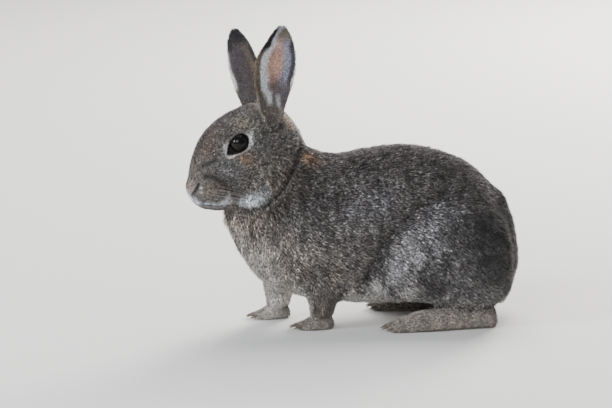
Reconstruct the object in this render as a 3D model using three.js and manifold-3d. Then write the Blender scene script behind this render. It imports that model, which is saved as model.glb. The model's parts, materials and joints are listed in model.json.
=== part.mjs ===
// A wild-coloured rabbit sitting alert, life size, as a still museum model.
// Millimetres, +Z up. The rabbit faces -X, its left side faces -Y, and the floor is z = 0.
// Every part of the body is a closed solid of its own, and thin cuts part them.
import * as THREE from "three";
import { mergeVertices } from "three/addons/utils/BufferGeometryUtils.js";
import Module from "manifold-3d";

const wasm = await Module();
wasm.setup();

// ---- Driving dimensions ----
const CUT_GAP = 0.3; // the thin cut between neighbouring parts

const HEAD_PITCH = 36.5; // the nose points this far below level, degrees
const HEAD_YAW = 12; // and this far to the rabbit's left
const SKULL_BASE = { x: -70, z: 171.5 }; // where the head turns on the neck
const SKULL_TO_NOSE = 88; // from there to the tip of the nose, along the head
const NECK_SEAM = { x: -66, z: 112, lean: -50 }; // the slanting cut that parts neck from trunk

const EYE = { radius: 8.3, fromNose: 55.8, aboveAxis: 17.1, fromMidline: 16.4 };

const EAR_LENGTH = 87;
const EAR_WIDTH = 39.2; // measured round the curl, from margin to margin
const EAR_THICKNESS = 3.2;
const EAR_ROOT = { fromNose: 92, aboveAxis: 15, fromMidline: 12 };
// How each ear is carried: back from upright, out to the side, how far its opening is turned from
// the front, and how deep its root sits.
const LEFT_EAR = { back: 1.5, out: 15, turn: 80, sunk: 2 };
const RIGHT_EAR = { back: -8, out: 28, turn: 76, sunk: 9 };

const FORELEG_HEIGHT = 76; // from the floor to where the leg is lost in the shoulder
const WRIST_HEIGHT = 13;
const LEFT_FORELEG = { x: -31, y: -23 };
const RIGHT_FORELEG = { x: -63, y: 21 };
const FOREPAW = { length: 29, width: 21, heel: 15, instep: 14, front: 11 };
const PAW_AHEAD_OF_LEG = 17; // from the middle of the leg to the front of the paw
const FORE_TOE = { length: 14, radius: 4.7, overhang: 2.5 };

const HIP = { x: 85, y: 33 };
const HIND_FOOT = { length: 92, width: 26, heel: 25, instep: 19, front: 12 };
const HIND_TOE = { length: 24, radius: 5.2, overhang: 3 };
const HEEL = { x: 121, y: 41, turnedOut: 4 };
const SOLE_FLAT = 1.2; // how much of a foot's underside is pressed flat on the floor

const TOES = 4;
const CLAW = { length: 7.5, radius: 1.3 };

const TAIL = { length: 46, x: 130, z: 13 };

// ---- Colours of the coat and of what shows through it ----
const COAT_GREY = 0x6f665c;
const COAT_PALE = 0xa79c8c;
const EAR_BROWN = 0x655c55;
const EYE_DARK = 0x140d0a;
const CLAW_HORN = 0x4b3f35;
const TAIL_WHITE = 0xb9b2a6;

const furred = (color) => new THREE.MeshStandardMaterial({ color, roughness: 0.95, metalness: 0 });
const glossy = (color) => new THREE.MeshStandardMaterial({ color, roughness: 0.12, metalness: 0 });
const horny = (color) => new THREE.MeshStandardMaterial({ color, roughness: 0.5, metalness: 0 });

// ---- Building a closed body from sections ----
const degrees = THREE.MathUtils.degToRad;
const power = (value, exponent) => Math.sign(value) * Math.abs(value) ** exponent;

// One smooth curve through the same fields of every station, three at a time.
function track(stations, fields) {
  const rows = stations.map((s) => new THREE.Vector3(...fields.map((f) => s[f] ?? 0)));
  return new THREE.CatmullRomCurve3(rows, false, "catmullrom", 0.5);
}

// Where the rings go: a rounded cap, an even run through the stations, and a rounded cap.
function ringPlan(rings, capRings, startCap, endCap) {
  const plan = [];
  for (let i = 0; i < capRings; i++) {
    const angle = (i / capRings) * (Math.PI / 2);
    plan.push({ t: 0, out: -startCap * Math.cos(angle), shrink: Math.sin(angle) });
  }
  for (let i = 0; i <= rings; i++) plan.push({ t: i / rings, out: 0, shrink: 1 });
  for (let i = capRings - 1; i >= 0; i--) {
    const angle = (i / capRings) * (Math.PI / 2);
    plan.push({ t: 1, out: endCap * Math.cos(angle), shrink: Math.sin(angle) });
  }
  return plan;
}

// A sphere's grid, laid over the sections that place() gives for each ring and each angle round it.
function sweep(plan, sides, place) {
  const geometry = new THREE.SphereGeometry(1, sides, plan.length - 1);
  const { position, uv } = geometry.attributes;
  for (let i = 0; i < position.count; i++) {
    const ring = plan[Math.round((1 - uv.getY(i)) * (plan.length - 1))];
    const angle = Math.round(uv.getX(i) * sides) * ((2 * Math.PI) / sides);
    const p = place(ring, -Math.cos(angle) * ring.shrink, Math.sin(angle) * ring.shrink);
    position.setXYZ(i, p.x, p.y, p.z);
  }
  return geometry;
}

// Oval sections stand across a centre line in the XZ plane. tilt leans a section's normal upwards from -X.
// side, up and down are its reach from the centre, and square rounds it (2) or fills its corners (more).
// A bump pushes what lies near it outwards, or inwards where push is negative.
function loft({ stations, rings, sides, capRings = 4, startCap, endCap, bumps = [] }) {
  const centre = track(stations, ["x", "y", "z"]);
  const reach = track(stations, ["side", "up", "down"]);
  const shape = track(stations.map((s) => ({ square: 2, ...s })), ["tilt", "square"]);
  return sweep(ringPlan(rings, capRings, startCap, endCap), sides, (ring, across, high) => {
    const { x: tilt, y: square } = shape.getPoint(ring.t);
    const { x: side, y: up, z: down } = reach.getPoint(ring.t);
    const normal = new THREE.Vector3(-Math.cos(degrees(tilt)), 0, Math.sin(degrees(tilt)));
    const upward = new THREE.Vector3(Math.sin(degrees(tilt)), 0, Math.cos(degrees(tilt)));
    const size = Math.hypot(across, high) || 1;
    const c = power(across / size, 2 / square) * size;
    const s = power(high / size, 2 / square) * size;
    const middle = centre.getPoint(ring.t);
    const p = middle.clone().addScaledVector(normal, ring.out);
    p.y -= c * side;
    p.addScaledVector(upward, s * (s > 0 ? up : down));
    const outward = p.clone().sub(middle).normalize();
    for (const { at, wide, push } of bumps) {
      const near = new THREE.Vector3(p.x - at[0], Math.abs(p.y) - at[1], p.z - at[2]);
      p.addScaledVector(outward, push * Math.exp(-near.lengthSq() / (wide * wide)));
    }
    return p;
  });
}

// ---- Solids: cutting one part to meet another ----
function solidOf(mesh) {
  const geometry = mesh.geometry.clone().applyMatrix4(mesh.matrixWorld);
  geometry.deleteAttribute("normal");
  geometry.deleteAttribute("uv");
  const merged = mergeVertices(geometry, 1e-3);
  return new wasm.Manifold(
    new wasm.Mesh({
      numProp: 3,
      vertProperties: merged.attributes.position.array,
      triVerts: new Uint32Array(merged.index.array),
    }),
  );
}

// The mesh keeps its place in its group, and takes the largest body of the solid as its shape.
function takeShape(mesh, solid) {
  const body = solid.decompose().sort((a, b) => b.volume() - a.volume())[0];
  const { numProp, vertProperties, triVerts } = body.getMesh();
  const points = new Float32Array((vertProperties.length / numProp) * 3);
  for (let i = 0; i < points.length / 3; i++) {
    points.set(vertProperties.subarray(i * numProp, i * numProp + 3), i * 3);
  }
  const geometry = new THREE.BufferGeometry();
  geometry.setAttribute("position", new THREE.BufferAttribute(points, 3));
  geometry.setIndex(new THREE.BufferAttribute(new Uint32Array(triVerts), 1));
  mesh.geometry = geometry.applyMatrix4(mesh.matrixWorld.clone().invert());
}

// The same mesh, larger by the cut gap along its normals.
function swollen(mesh) {
  const geometry = mesh.geometry.clone();
  geometry.deleteAttribute("normal");
  geometry.deleteAttribute("uv");
  const merged = mergeVertices(geometry, 1e-3);
  merged.computeVertexNormals();
  const { position, normal } = merged.attributes;
  for (let i = 0; i < position.count; i++) {
    position.setXYZ(
      i,
      position.getX(i) + normal.getX(i) * CUT_GAP,
      position.getY(i) + normal.getY(i) * CUT_GAP,
      position.getZ(i) + normal.getZ(i) * CUT_GAP,
    );
  }
  const copy = new THREE.Mesh(merged);
  copy.matrixWorld.copy(mesh.matrixWorld);
  return copy;
}

// In a tight curl the swollen mesh can dip below the plain one, so both are taken away.
function cutBy(mesh, ...tools) {
  const cutters = tools.flatMap((tool) => [solidOf(swollen(tool)), solidOf(tool)]);
  takeShape(mesh, cutters.reduce((solid, cutter) => solid.subtract(cutter), solidOf(mesh)));
}

function joinWith(mesh, ...others) {
  takeShape(mesh, others.reduce((solid, other) => solid.add(solidOf(other)), solidOf(mesh)));
}

function part(name, geometry, material, parent) {
  const mesh = new THREE.Mesh(geometry, material);
  mesh.name = name;
  parent.add(mesh);
  return mesh;
}

// ---- Trunk and neck, in one sweep from the rump up into the skull ----
function bodyGeometry() {
  return loft({
    rings: 17,
    sides: 20,
    capRings: 3,
    startCap: 18.5,
    endCap: 8,
    stations: [
      { x: 126, z: 62, tilt: -6, side: 34, up: 59, down: 37, square: 2.05 }, // rump
      { x: 107, z: 66, tilt: -4, side: 42, up: 73, down: 49, square: 2.15 }, // hips
      { x: 76, z: 74, tilt: -3, side: 46, up: 78, down: 57, square: 2.2 }, // loin
      { x: 40, z: 80, tilt: 0, side: 49, up: 77, down: 62, square: 2.2 }, // top of the back
      { x: 4, z: 86, tilt: 3, side: 48, up: 67, down: 67, square: 2.2 }, // ribs
      { x: -24, z: 92, tilt: 12, side: 45, up: 59, down: 69, square: 2.2 }, // withers
      { x: -44, z: 99, tilt: 24, side: 43, up: 56.5, down: 71, square: 2.1 }, // shoulders
      { x: -64, z: 111, tilt: 38, side: 40, up: 53.5, down: 58 }, // breast
      { x: -77, z: 137, tilt: 55, side: 34, up: 41.5, down: 41 }, // throat
      { x: -84, z: 158, tilt: 66, side: 29, up: 35.5, down: 30 },
      { x: -88, z: 174, tilt: 74, side: 24, up: 30.5, down: 20 }, // nape
    ],
    bumps: [
      { at: [-30, 42, 84], wide: 30, push: 5 }, // shoulder blade and upper arm
      { at: [8, 46, 50], wide: 34, push: 3 }, // flank
      { at: [-108, 0, 100], wide: 15, push: 6 }, // fur under the chin
    ],
  });
}

// ---- Head: the axis runs from the skull base to the nose along -X before the head is pitched ----
const fromNose = (distance) => distance - SKULL_TO_NOSE;

function headGeometry() {
  return loft({
    rings: 16,
    sides: 20,
    capRings: 3,
    startCap: 7.5,
    endCap: 9,
    stations: [
      { x: fromNose(99), z: -4, tilt: 0, side: 20, up: 26, down: 27 }, // back of the skull
      { x: fromNose(88), z: -4, tilt: 0, side: 25, up: 35, down: 35 },
      { x: fromNose(74), z: -4, tilt: 0, side: 27, up: 39.5, down: 38.5 }, // cheeks
      { x: fromNose(60), z: -4.5, tilt: 0, side: 26.5, up: 42.2, down: 39, square: 2.05 }, // eyes
      { x: fromNose(46), z: -5.5, tilt: 0, side: 23.5, up: 44.2, down: 37.5, square: 2.1 },
      { x: fromNose(33), z: -6, tilt: 0, side: 20, up: 41.7, down: 34.5, square: 2.2 }, // bridge of the nose
      { x: fromNose(22), z: -5, tilt: 0, side: 17, up: 34.3, down: 30, square: 2.25 }, // muzzle
      { x: fromNose(12), z: -2.5, tilt: 0, side: 14.5, up: 24, down: 23, square: 2.3 }, // whisker pads
      { x: fromNose(5), z: -0.5, tilt: 0, side: 10.5, up: 14.5, down: 17.5, square: 2.3 }, // nose and lips
    ],
    bumps: [
      { at: [fromNose(62), 22, -20], wide: 20, push: 3 }, // cheek
      { at: [fromNose(57), 18, 28], wide: 12, push: 2.6 }, // brow
      { at: [fromNose(40), 21, 12], wide: 10, push: -2.2 }, // hollow before the eye
      { at: [fromNose(13), 12, -6], wide: 9, push: 2.4 }, // whisker pad
      { at: [fromNose(24), 15, -24], wide: 8, push: -1.6 }, // corner of the mouth
    ],
  });
}

// ---- Ear: a curled leaf. It stands on +Z, its back faces +X, and its opening faces -X ----
function earGeometry() {
  const stations = [
    { z: 0, x: 0, half: 0.45, thick: 1.6, curl: 140 }, // tube at the base
    { z: 0.14, x: 0, half: 0.46, thick: 1.5, curl: 130 },
    { z: 0.28, x: 0.004, half: 0.48, thick: 1.25, curl: 104 },
    { z: 0.42, x: 0.012, half: 0.5, thick: 1, curl: 72 }, // the open cup
    { z: 0.57, x: 0.018, half: 0.5, thick: 0.95, curl: 57 },
    { z: 0.72, x: 0.014, half: 0.45, thick: 0.9, curl: 48 },
    { z: 0.85, x: 0.002, half: 0.34, thick: 0.85, curl: 40 },
    { z: 0.95, x: -0.012, half: 0.19, thick: 0.8, curl: 34 }, // tip
  ];
  const centre = track(stations, ["x", "y", "z"]);
  const section = track(stations, ["half", "thick", "curl"]);
  return sweep(ringPlan(10, 2, 0.02 * EAR_LENGTH, 0.05 * EAR_LENGTH), 16, (ring, across, high) => {
    const { x: half, y: thick, z: curl } = section.getPoint(ring.t);
    const middle = centre.getPoint(ring.t).multiplyScalar(EAR_LENGTH);
    const bend = (half * EAR_WIDTH) / degrees(curl);
    const angle = across * degrees(curl);
    const radius = bend + (high * thick * EAR_THICKNESS) / 2;
    return new THREE.Vector3(
      middle.x + radius * Math.cos(angle) - bend,
      -radius * Math.sin(angle),
      middle.z + ring.out,
    );
  });
}

// ---- Limbs ----
// A foreleg stands straight: sections lie across +Z, and the paw points forward.
function forelegGeometry() {
  return loft({
    rings: 6,
    sides: 12,
    capRings: 2,
    startCap: 4,
    endCap: 8,
    stations: [
      { x: 0, z: 6, tilt: 90, side: 9.5, up: 10.5, down: 10 }, // wrist
      { x: 0.5, z: 18, tilt: 88, side: 10.5, up: 12, down: 11 },
      { x: 1.5, z: 32, tilt: 86, side: 13, up: 16, down: 15 }, // forearm
      { x: 5, z: 50, tilt: 80, side: 14.5, up: 19, down: 19 }, // elbow
      { x: 9, z: FORELEG_HEIGHT - 8, tilt: 78, side: 15.5, up: 22, down: 21 },
    ],
  });
}

function footGeometry({ length, width, heel, instep, front }) {
  const half = width / 2;
  const sole = front * 0.45; // the centre line runs this far above the floor
  return loft({
    rings: 5,
    sides: 10,
    capRings: 2,
    startCap: 7,
    endCap: 5,
    stations: [
      { x: length - 7, z: sole, tilt: 0, side: half * 0.78, up: heel - sole, down: sole },
      { x: length * 0.62, z: sole, tilt: 0, side: half * 0.86, up: instep + 2 - sole, down: sole },
      { x: length * 0.34, z: sole, tilt: 0, side: half, up: instep - sole, down: sole, square: 2.4 },
      { x: 5, z: sole, tilt: 0, side: half * 0.9, up: front - sole, down: sole, square: 2.4 },
    ],
  });
}

// A toe is a short rounded finger that stands a little proud of the foot's front edge.
function toeGeometry({ length, radius }) {
  return loft({
    rings: 1,
    sides: 6,
    capRings: 2,
    startCap: radius,
    endCap: radius,
    stations: [
      { x: length, z: radius, tilt: 0, side: radius, up: radius, down: radius },
      { x: length * 0.5, z: radius * 1.1, tilt: 0, side: radius, up: radius * 1.05, down: radius },
      { x: radius, z: radius * 0.95, tilt: 0, side: radius * 0.92, up: radius * 0.95, down: radius * 0.92 },
    ],
  });
}

// A claw curves forward and down to a point.
function clawGeometry() {
  const { length, radius } = CLAW;
  return loft({
    rings: 2,
    sides: 5,
    capRings: 1,
    startCap: radius * 0.5,
    endCap: radius * 0.3,
    stations: [
      { x: 0, z: 0, tilt: 0, side: radius, up: radius * 1.2, down: radius },
      { x: -length * 0.5, z: -0.3, tilt: -12, side: radius * 0.8, up: radius, down: radius * 0.8 },
      { x: -length, z: -1.9, tilt: -30, side: radius * 0.3, up: radius * 0.3, down: radius * 0.3 },
    ],
  });
}

// Haunch and folded shank in one: from the buttock, over the thigh, down and forward to the knee.
function thighGeometry() {
  return loft({
    rings: 9,
    sides: 16,
    capRings: 2,
    startCap: 12,
    endCap: 8,
    stations: [
      { x: 37, z: 68, tilt: -8, side: 20, up: 38, down: 44 }, // buttock
      { x: 19, z: 67, tilt: -12, side: 26, up: 50, down: 50, square: 2.2 },
      { x: -3, z: 63, tilt: -20, side: 28, up: 52, down: 50, square: 2.2 },
      { x: -24, z: 55, tilt: -32, side: 26.5, up: 41, down: 40, square: 2.2 },
      { x: -45, z: 45, tilt: -42, side: 22, up: 29, down: 30, square: 2.1 },
      { x: -59, z: 37, tilt: -50, side: 15.5, up: 15, down: 17 }, // knee
    ],
  });
}

function tailGeometry() {
  return loft({
    rings: 5,
    sides: 10,
    capRings: 2,
    startCap: 6,
    endCap: 10,
    stations: [
      { x: 4, z: TAIL.length * 0.86, tilt: -98, side: 9, up: 8, down: 8 },
      { x: 4, z: TAIL.length * 0.5, tilt: -88, side: 12, up: 9.5, down: 9.5 },
      { x: 0, z: TAIL.length * 0.18, tilt: -74, side: 11, up: 9, down: 9 }, // towards the tip
    ],
  });
}

// ---- Assembly ----
const rabbit = new THREE.Group();

const trunk = part("trunk", bodyGeometry(), furred(COAT_GREY), rabbit);
const neck = part("neck", bodyGeometry(), furred(COAT_GREY), rabbit);

const headGroup = new THREE.Group();
headGroup.position.set(SKULL_BASE.x, 0, SKULL_BASE.z);
headGroup.rotation.set(0, degrees(-HEAD_PITCH), degrees(HEAD_YAW), "ZYX");
rabbit.add(headGroup);
const head = part("head", headGeometry(), furred(COAT_GREY), headGroup);

function addEye(name, side) {
  const eye = part(name, new THREE.SphereGeometry(EYE.radius, 14, 10), glossy(EYE_DARK), headGroup);
  eye.position.set(fromNose(EYE.fromNose), side * EYE.fromMidline, EYE.aboveAxis);
  return eye;
}
const eyes = [addEye("eye_left", -1), addEye("eye_right", 1)];

// An ear is carried from upright, so its group first undoes the head's pitch.
function addEar(name, side, carried) {
  const group = new THREE.Group();
  group.position.set(fromNose(EAR_ROOT.fromNose), side * EAR_ROOT.fromMidline, EAR_ROOT.aboveAxis);
  group.rotation.set(0, degrees(HEAD_PITCH), 0);
  headGroup.add(group);
  const ear = part(name, earGeometry(), furred(EAR_BROWN), group);
  const lean = new THREE.Quaternion().setFromEuler(
    new THREE.Euler(degrees(-side * carried.out), degrees(carried.back), 0, "XYZ"),
  );
  const turn = new THREE.Quaternion().setFromAxisAngle(new THREE.Vector3(0, 0, 1), degrees(-side * carried.turn));
  ear.quaternion.copy(lean).multiply(turn);
  ear.translateZ(-carried.sunk);
  return ear;
}
const ears = [addEar("ear_left", -1, LEFT_EAR), addEar("ear_right", 1, RIGHT_EAR)];

// A foot takes its toes as one solid with it, and each claw stays a part of its own.
function addFoot(name, size, toeSize, group) {
  const foot = part(name, footGeometry(size), furred(COAT_PALE), group);
  const claws = [];
  for (let i = 0; i < TOES; i++) {
    const spread = (i - (TOES - 1) / 2) / ((TOES - 1) / 2);
    const reach = -toeSize.overhang - (1 - Math.abs(spread)) * toeSize.radius * 0.9;
    const toe = new THREE.Mesh(toeGeometry(toeSize));
    toe.position.set(reach, spread * (size.width / 2 - toeSize.radius), 0);
    toe.rotation.z = degrees(-spread * 7);
    const claw = part(`${name}_claw_${i + 1}`, clawGeometry(), horny(CLAW_HORN), group);
    claw.position.set(reach + toeSize.radius * 0.5, toe.position.y, toeSize.radius * 1.05);
    claw.rotation.z = toe.rotation.z;
    group.add(toe);
    rabbit.updateMatrixWorld(true);
    joinWith(foot, toe);
    group.remove(toe);
    claws.push(claw);
  }
  return { foot, claws };
}

function addForeleg(name, place) {
  const group = new THREE.Group();
  group.position.set(place.x, place.y, 0);
  rabbit.add(group);
  const leg = part(`foreleg_${name}`, forelegGeometry(), furred(COAT_PALE), group);
  const footGroup = new THREE.Group();
  footGroup.position.x = -PAW_AHEAD_OF_LEG;
  group.add(footGroup);
  return { leg, ...addFoot(`forepaw_${name}`, FOREPAW, FORE_TOE, footGroup) };
}
const forelegs = [addForeleg("left", LEFT_FORELEG), addForeleg("right", RIGHT_FORELEG)];

function addHindLeg(name, side) {
  const thigh = part(`thigh_${name}`, thighGeometry(), furred(COAT_GREY), rabbit);
  thigh.position.set(HIP.x, side * HIP.y, 0);
  const group = new THREE.Group();
  group.position.set(HEEL.x - HIND_FOOT.length, side * HEEL.y, 0);
  group.rotation.z = degrees(-side * HEEL.turnedOut);
  rabbit.add(group);
  return { thigh, ...addFoot(`hind_foot_${name}`, HIND_FOOT, HIND_TOE, group) };
}
const hindLegs = [addHindLeg("left", -1), addHindLeg("right", 1)];

const tail = part("tail", tailGeometry(), furred(TAIL_WHITE), rabbit);
tail.position.set(TAIL.x, 0, TAIL.z);

// ---- Fitting: every part is cut to meet its neighbours ----
rabbit.updateMatrixWorld(true);

// A large block whose lower face passes through a point, leaning back by an angle.
const BLOCK = 400;
function blockAbove(x, z, lean = 0) {
  const block = new THREE.Mesh(new THREE.BoxGeometry(BLOCK, BLOCK, BLOCK));
  block.position.set(x, 0, z);
  block.rotation.y = degrees(lean);
  block.translateZ(BLOCK / 2);
  block.updateMatrixWorld();
  return solidOf(block);
}
const blockBelow = (z) => blockAbove(0, z - BLOCK);

const aheadOfSeam = blockAbove(NECK_SEAM.x, NECK_SEAM.z, NECK_SEAM.lean);
takeShape(trunk, solidOf(trunk).subtract(aheadOfSeam));
takeShape(neck, solidOf(neck).intersect(aheadOfSeam.translate([-CUT_GAP, 0, CUT_GAP])));

for (const { foot } of [...forelegs, ...hindLegs]) {
  takeShape(foot, solidOf(foot).subtract(blockBelow(SOLE_FLAT)));
}
for (const { leg, foot, claws } of forelegs) {
  takeShape(foot, solidOf(foot).subtract(blockAbove(0, WRIST_HEIGHT)));
  takeShape(leg, solidOf(leg).subtract(blockBelow(WRIST_HEIGHT + CUT_GAP)));
  cutBy(foot, ...claws);
  cutBy(leg, trunk);
}
for (const { thigh, foot, claws } of hindLegs) {
  cutBy(foot, ...claws);
  cutBy(thigh, foot);
}
cutBy(trunk, ...hindLegs.map(({ thigh }) => thigh));
cutBy(tail, trunk);
cutBy(head, ...eyes, ...ears);
cutBy(neck, head, ...ears);

// ---- The origin: on the floor, under the middle of the whole ----
const bounds = new THREE.Box3().setFromObject(rabbit, true);
const middle = bounds.getCenter(new THREE.Vector3());
rabbit.position.set(-middle.x, -middle.y, -bounds.min.z);

const root = new THREE.Group();
root.add(rabbit);

export default root;
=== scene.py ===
# %% [markdown]
# # A crouched wild rabbit, finished as a museum model
# The solids of the model already give the rabbit's pose, its sizes and its outline, out to the tips of
# the fur. What they lack is everything soft: one unbroken skin, lids, nostrils and lips, the wet eyes,
# and above all the coat. This lesson builds those one at a time, around the fixed solids, and each step
# first says what the thing is on the animal and which of Blender's tools suits it.

# %% Load the solids
import json
import math
import time

import bmesh
import bpy
import numpy as np
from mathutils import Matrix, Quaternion, Vector, noise
from mathutils.bvhtree import BVHTree

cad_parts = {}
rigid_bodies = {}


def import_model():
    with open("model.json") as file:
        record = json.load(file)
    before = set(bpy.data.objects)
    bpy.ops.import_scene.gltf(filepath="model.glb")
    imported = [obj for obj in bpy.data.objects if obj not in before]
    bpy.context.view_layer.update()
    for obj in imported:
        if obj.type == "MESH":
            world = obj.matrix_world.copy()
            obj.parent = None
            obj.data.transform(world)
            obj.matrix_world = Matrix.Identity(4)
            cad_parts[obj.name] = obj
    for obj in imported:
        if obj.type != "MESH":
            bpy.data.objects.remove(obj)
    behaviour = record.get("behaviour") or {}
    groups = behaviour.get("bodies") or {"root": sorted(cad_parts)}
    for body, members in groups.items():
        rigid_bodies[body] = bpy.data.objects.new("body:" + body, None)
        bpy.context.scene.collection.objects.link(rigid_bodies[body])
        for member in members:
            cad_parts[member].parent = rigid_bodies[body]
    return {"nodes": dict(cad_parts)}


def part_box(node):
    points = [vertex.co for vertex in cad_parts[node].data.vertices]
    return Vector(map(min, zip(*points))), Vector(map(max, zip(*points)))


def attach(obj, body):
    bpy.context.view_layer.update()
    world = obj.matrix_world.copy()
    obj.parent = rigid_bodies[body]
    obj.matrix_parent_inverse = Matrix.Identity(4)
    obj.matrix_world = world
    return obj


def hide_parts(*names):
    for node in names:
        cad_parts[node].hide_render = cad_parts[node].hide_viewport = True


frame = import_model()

STARTED = time.time()
MM = 0.001
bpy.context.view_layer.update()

# %% [markdown]
# ## Directions of the head
# The head looks down and a little to its left, so almost everything on it is easier to place in the
# head's own directions: how far back from the nose, how far above the head's axis, and how far to the
# left. The two eye solids give the middle and the sideways direction, and the pitch gives the rest.

# %% The head's own directions
HEAD_PITCH = math.radians(36.5)
EYE_FROM_NOSE = 55.8  # millimetres, as are all of the head's places below
EYE_ABOVE_AXIS = 17.1
EYE_RADIUS = 8.3 * MM


def middle_of(node):
    low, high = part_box(node)
    return (low + high) / 2


EYE_CENTRES = {"left": middle_of("eye_left"), "right": middle_of("eye_right")}
BETWEEN_EYES = (EYE_CENTRES["left"] + EYE_CENTRES["right"]) / 2
LEFTWARD = (EYE_CENTRES["left"] - EYE_CENTRES["right"]).normalized()
LEVEL_AHEAD = LEFTWARD.cross(Vector((0, 0, 1)))
FORWARD = LEVEL_AHEAD * math.cos(HEAD_PITCH) - Vector((0, 0, math.sin(HEAD_PITCH)))
UPWARD = LEVEL_AHEAD * math.sin(HEAD_PITCH) + Vector((0, 0, math.cos(HEAD_PITCH)))


def head_point(from_nose, above, left=0.0):
    ahead = (EYE_FROM_NOSE - from_nose) * MM
    return BETWEEN_EYES + FORWARD * ahead + UPWARD * (above - EYE_ABOVE_AXIS) * MM + LEFTWARD * left * MM


def head_places(points):
    """Distance back from the nose, height above the axis and distance to the left, in millimetres."""
    reach = (points - np.array(BETWEEN_EYES)) / MM
    back, above = EYE_FROM_NOSE - reach @ np.array(FORWARD), EYE_ABOVE_AXIS + reach @ np.array(UPWARD)
    return back, above, reach @ np.array(LEFTWARD)


print("nose at", [round(c / MM, 1) for c in head_point(0, 0)])

# %% [markdown]
# ## The camera comes first
# The places of small features, such as the nostril or a pale patch, are known best as the main camera
# sees them. So the camera is set first, and a feature is put where the camera's line of sight through
# it meets the skin. Its twin on the far side of the head is then its mirror image.

# %% Camera
CAMERA_AZIMUTH, CAMERA_ELEVATION = math.radians(-8), math.radians(12)
CAMERA_DISTANCE = 3.0
LOOK_AT = Vector((-39.9, 0, 104.8)) * MM
LENS = 205.2
SENSOR_WIDTH = 36
TO_CAMERA = Vector((
    math.sin(CAMERA_AZIMUTH) * math.cos(CAMERA_ELEVATION),
    -math.cos(CAMERA_AZIMUTH) * math.cos(CAMERA_ELEVATION),
    math.sin(CAMERA_ELEVATION),
))


def put_in_scene(name, data):
    thing = bpy.data.objects.new(name, data)
    bpy.context.scene.collection.objects.link(thing)
    return thing


camera = put_in_scene("camera", bpy.data.cameras.new("camera"))
camera.data.lens, camera.data.sensor_width, camera.data.clip_end = LENS, SENSOR_WIDTH, 50
camera.location = LOOK_AT + TO_CAMERA * CAMERA_DISTANCE
camera.rotation_euler = TO_CAMERA.to_track_quat("Z", "Y").to_euler()
bpy.context.scene.camera = camera
print("camera at", [round(c, 2) for c in camera.location])

# %% [markdown]
# ## The flesh as one skin
# The solids are cut apart so that each can be named, but a living rabbit has no seams. Sculptors close
# such gaps by remeshing: all pieces are filled into one field of small cubes, and a new surface is
# wrapped round it. The big masses go first, in coarse cubes, and are smoothed until no facet shows.
# Thin ears and small toes would drown in that, so they join in a second, finer pass.

# %% Copies of the flesh solids, and a voxel remesh
CORE = ["trunk", "neck", "head", "thigh_left", "thigh_right", "foreleg_left", "foreleg_right", "tail"]
EARS = ["ear_left", "ear_right"]
FEET = ["forepaw_left", "forepaw_right", "hind_foot_left", "hind_foot_right"]
EYES = ["eye_left", "eye_right"]
GAP_CLOSER = 0.6 * MM  # each copy grows by this, so that neighbours overlap


def flesh_copy(nodes):
    copy = bmesh.new()
    for node in nodes:
        copy.from_mesh(frame["nodes"][node].data)
    bmesh.ops.remove_doubles(copy, verts=copy.verts, dist=0.01 * MM)
    copy.normal_update()
    grown = [v.co + v.normal * GAP_CLOSER for v in copy.verts]
    for vert, place in zip(copy.verts, grown):
        vert.co = place
    return copy


def mesh_of(shape, name):
    """A bmesh turned into a mesh."""
    mesh = bpy.data.meshes.new(name)
    shape.to_mesh(mesh)
    shape.free()
    return mesh


def voxel_remesh(shape, voxel):
    """The shape wrapped anew in even quads, as a fresh bmesh."""
    piece = put_in_scene("to_remesh", mesh_of(shape, "to_remesh"))
    remesh = piece.modifiers.new("Remesh", "REMESH")
    remesh.mode = "VOXEL"
    remesh.voxel_size = voxel
    bpy.context.view_layer.update()
    wrapped = bmesh.new()
    wrapped.from_mesh(piece.evaluated_get(bpy.context.evaluated_depsgraph_get()).data)
    bpy.data.objects.remove(piece)
    return wrapped


def smooth(shape, rounds, verts=None):
    axes = {f"use_axis_{axis}": True for axis in "xyz"}
    for _ in range(rounds):
        bmesh.ops.smooth_vert(shape, verts=verts or shape.verts, factor=0.5, **axes)


# %% Coarse body, fine ears and feet, then one skin
CORE_VOXEL, EAR_VOXEL, FOOT_VOXEL, SKIN_VOXEL = 2.2 * MM, 0.9 * MM, 1.0 * MM, 1.6 * MM
CORE_ROUNDS, HEAD_ROUNDS, EAR_ROUNDS, FOOT_ROUNDS, SKIN_ROUNDS = 22, 4, 3, 2, 3
HEAD_REACH = 78  # millimetres back from the nose where the gentler smoothing of the head ends


def add_shape(whole, part):
    """Puts one bmesh into another, through a mesh."""
    mesh = mesh_of(part, "part")
    whole.from_mesh(mesh)
    bpy.data.meshes.remove(mesh)


def places_of(shape):
    return np.array([v.co for v in shape.verts])


skin_shape = voxel_remesh(flesh_copy(CORE + EYES), CORE_VOXEL)
smooth(skin_shape, HEAD_ROUNDS)
back = head_places(places_of(skin_shape))[0]
smooth(skin_shape, CORE_ROUNDS - HEAD_ROUNDS, [v for v, b in zip(skin_shape.verts, back) if b > HEAD_REACH])
for nodes, voxel, rounds in ((EARS, EAR_VOXEL, EAR_ROUNDS), (FEET, FOOT_VOXEL, FOOT_ROUNDS)):
    thin = voxel_remesh(flesh_copy(nodes), voxel)
    smooth(thin, rounds)
    add_shape(skin_shape, thin)
skin_shape = voxel_remesh(skin_shape, SKIN_VOXEL)
smooth(skin_shape, SKIN_ROUNDS)
print("skin:", len(skin_shape.verts), "points")

# %% [markdown]
# Lids, nostrils and lips are under a millimetre thick, finer than the cubes. Only the places that hold
# them are cut finer, so the rest of the body stays light.

# %% Finer faces round the eyes, the nose and the mouth
EYE_ZONE, MUZZLE_ZONE = 14 * MM, 45 * MM  # round the middle of each eye, and round the nose
NOSE_ZONE = 22  # millimetres back from the nose


def distance_to(points, place):
    return np.linalg.norm(points - np.array(place), axis=1)


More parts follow.
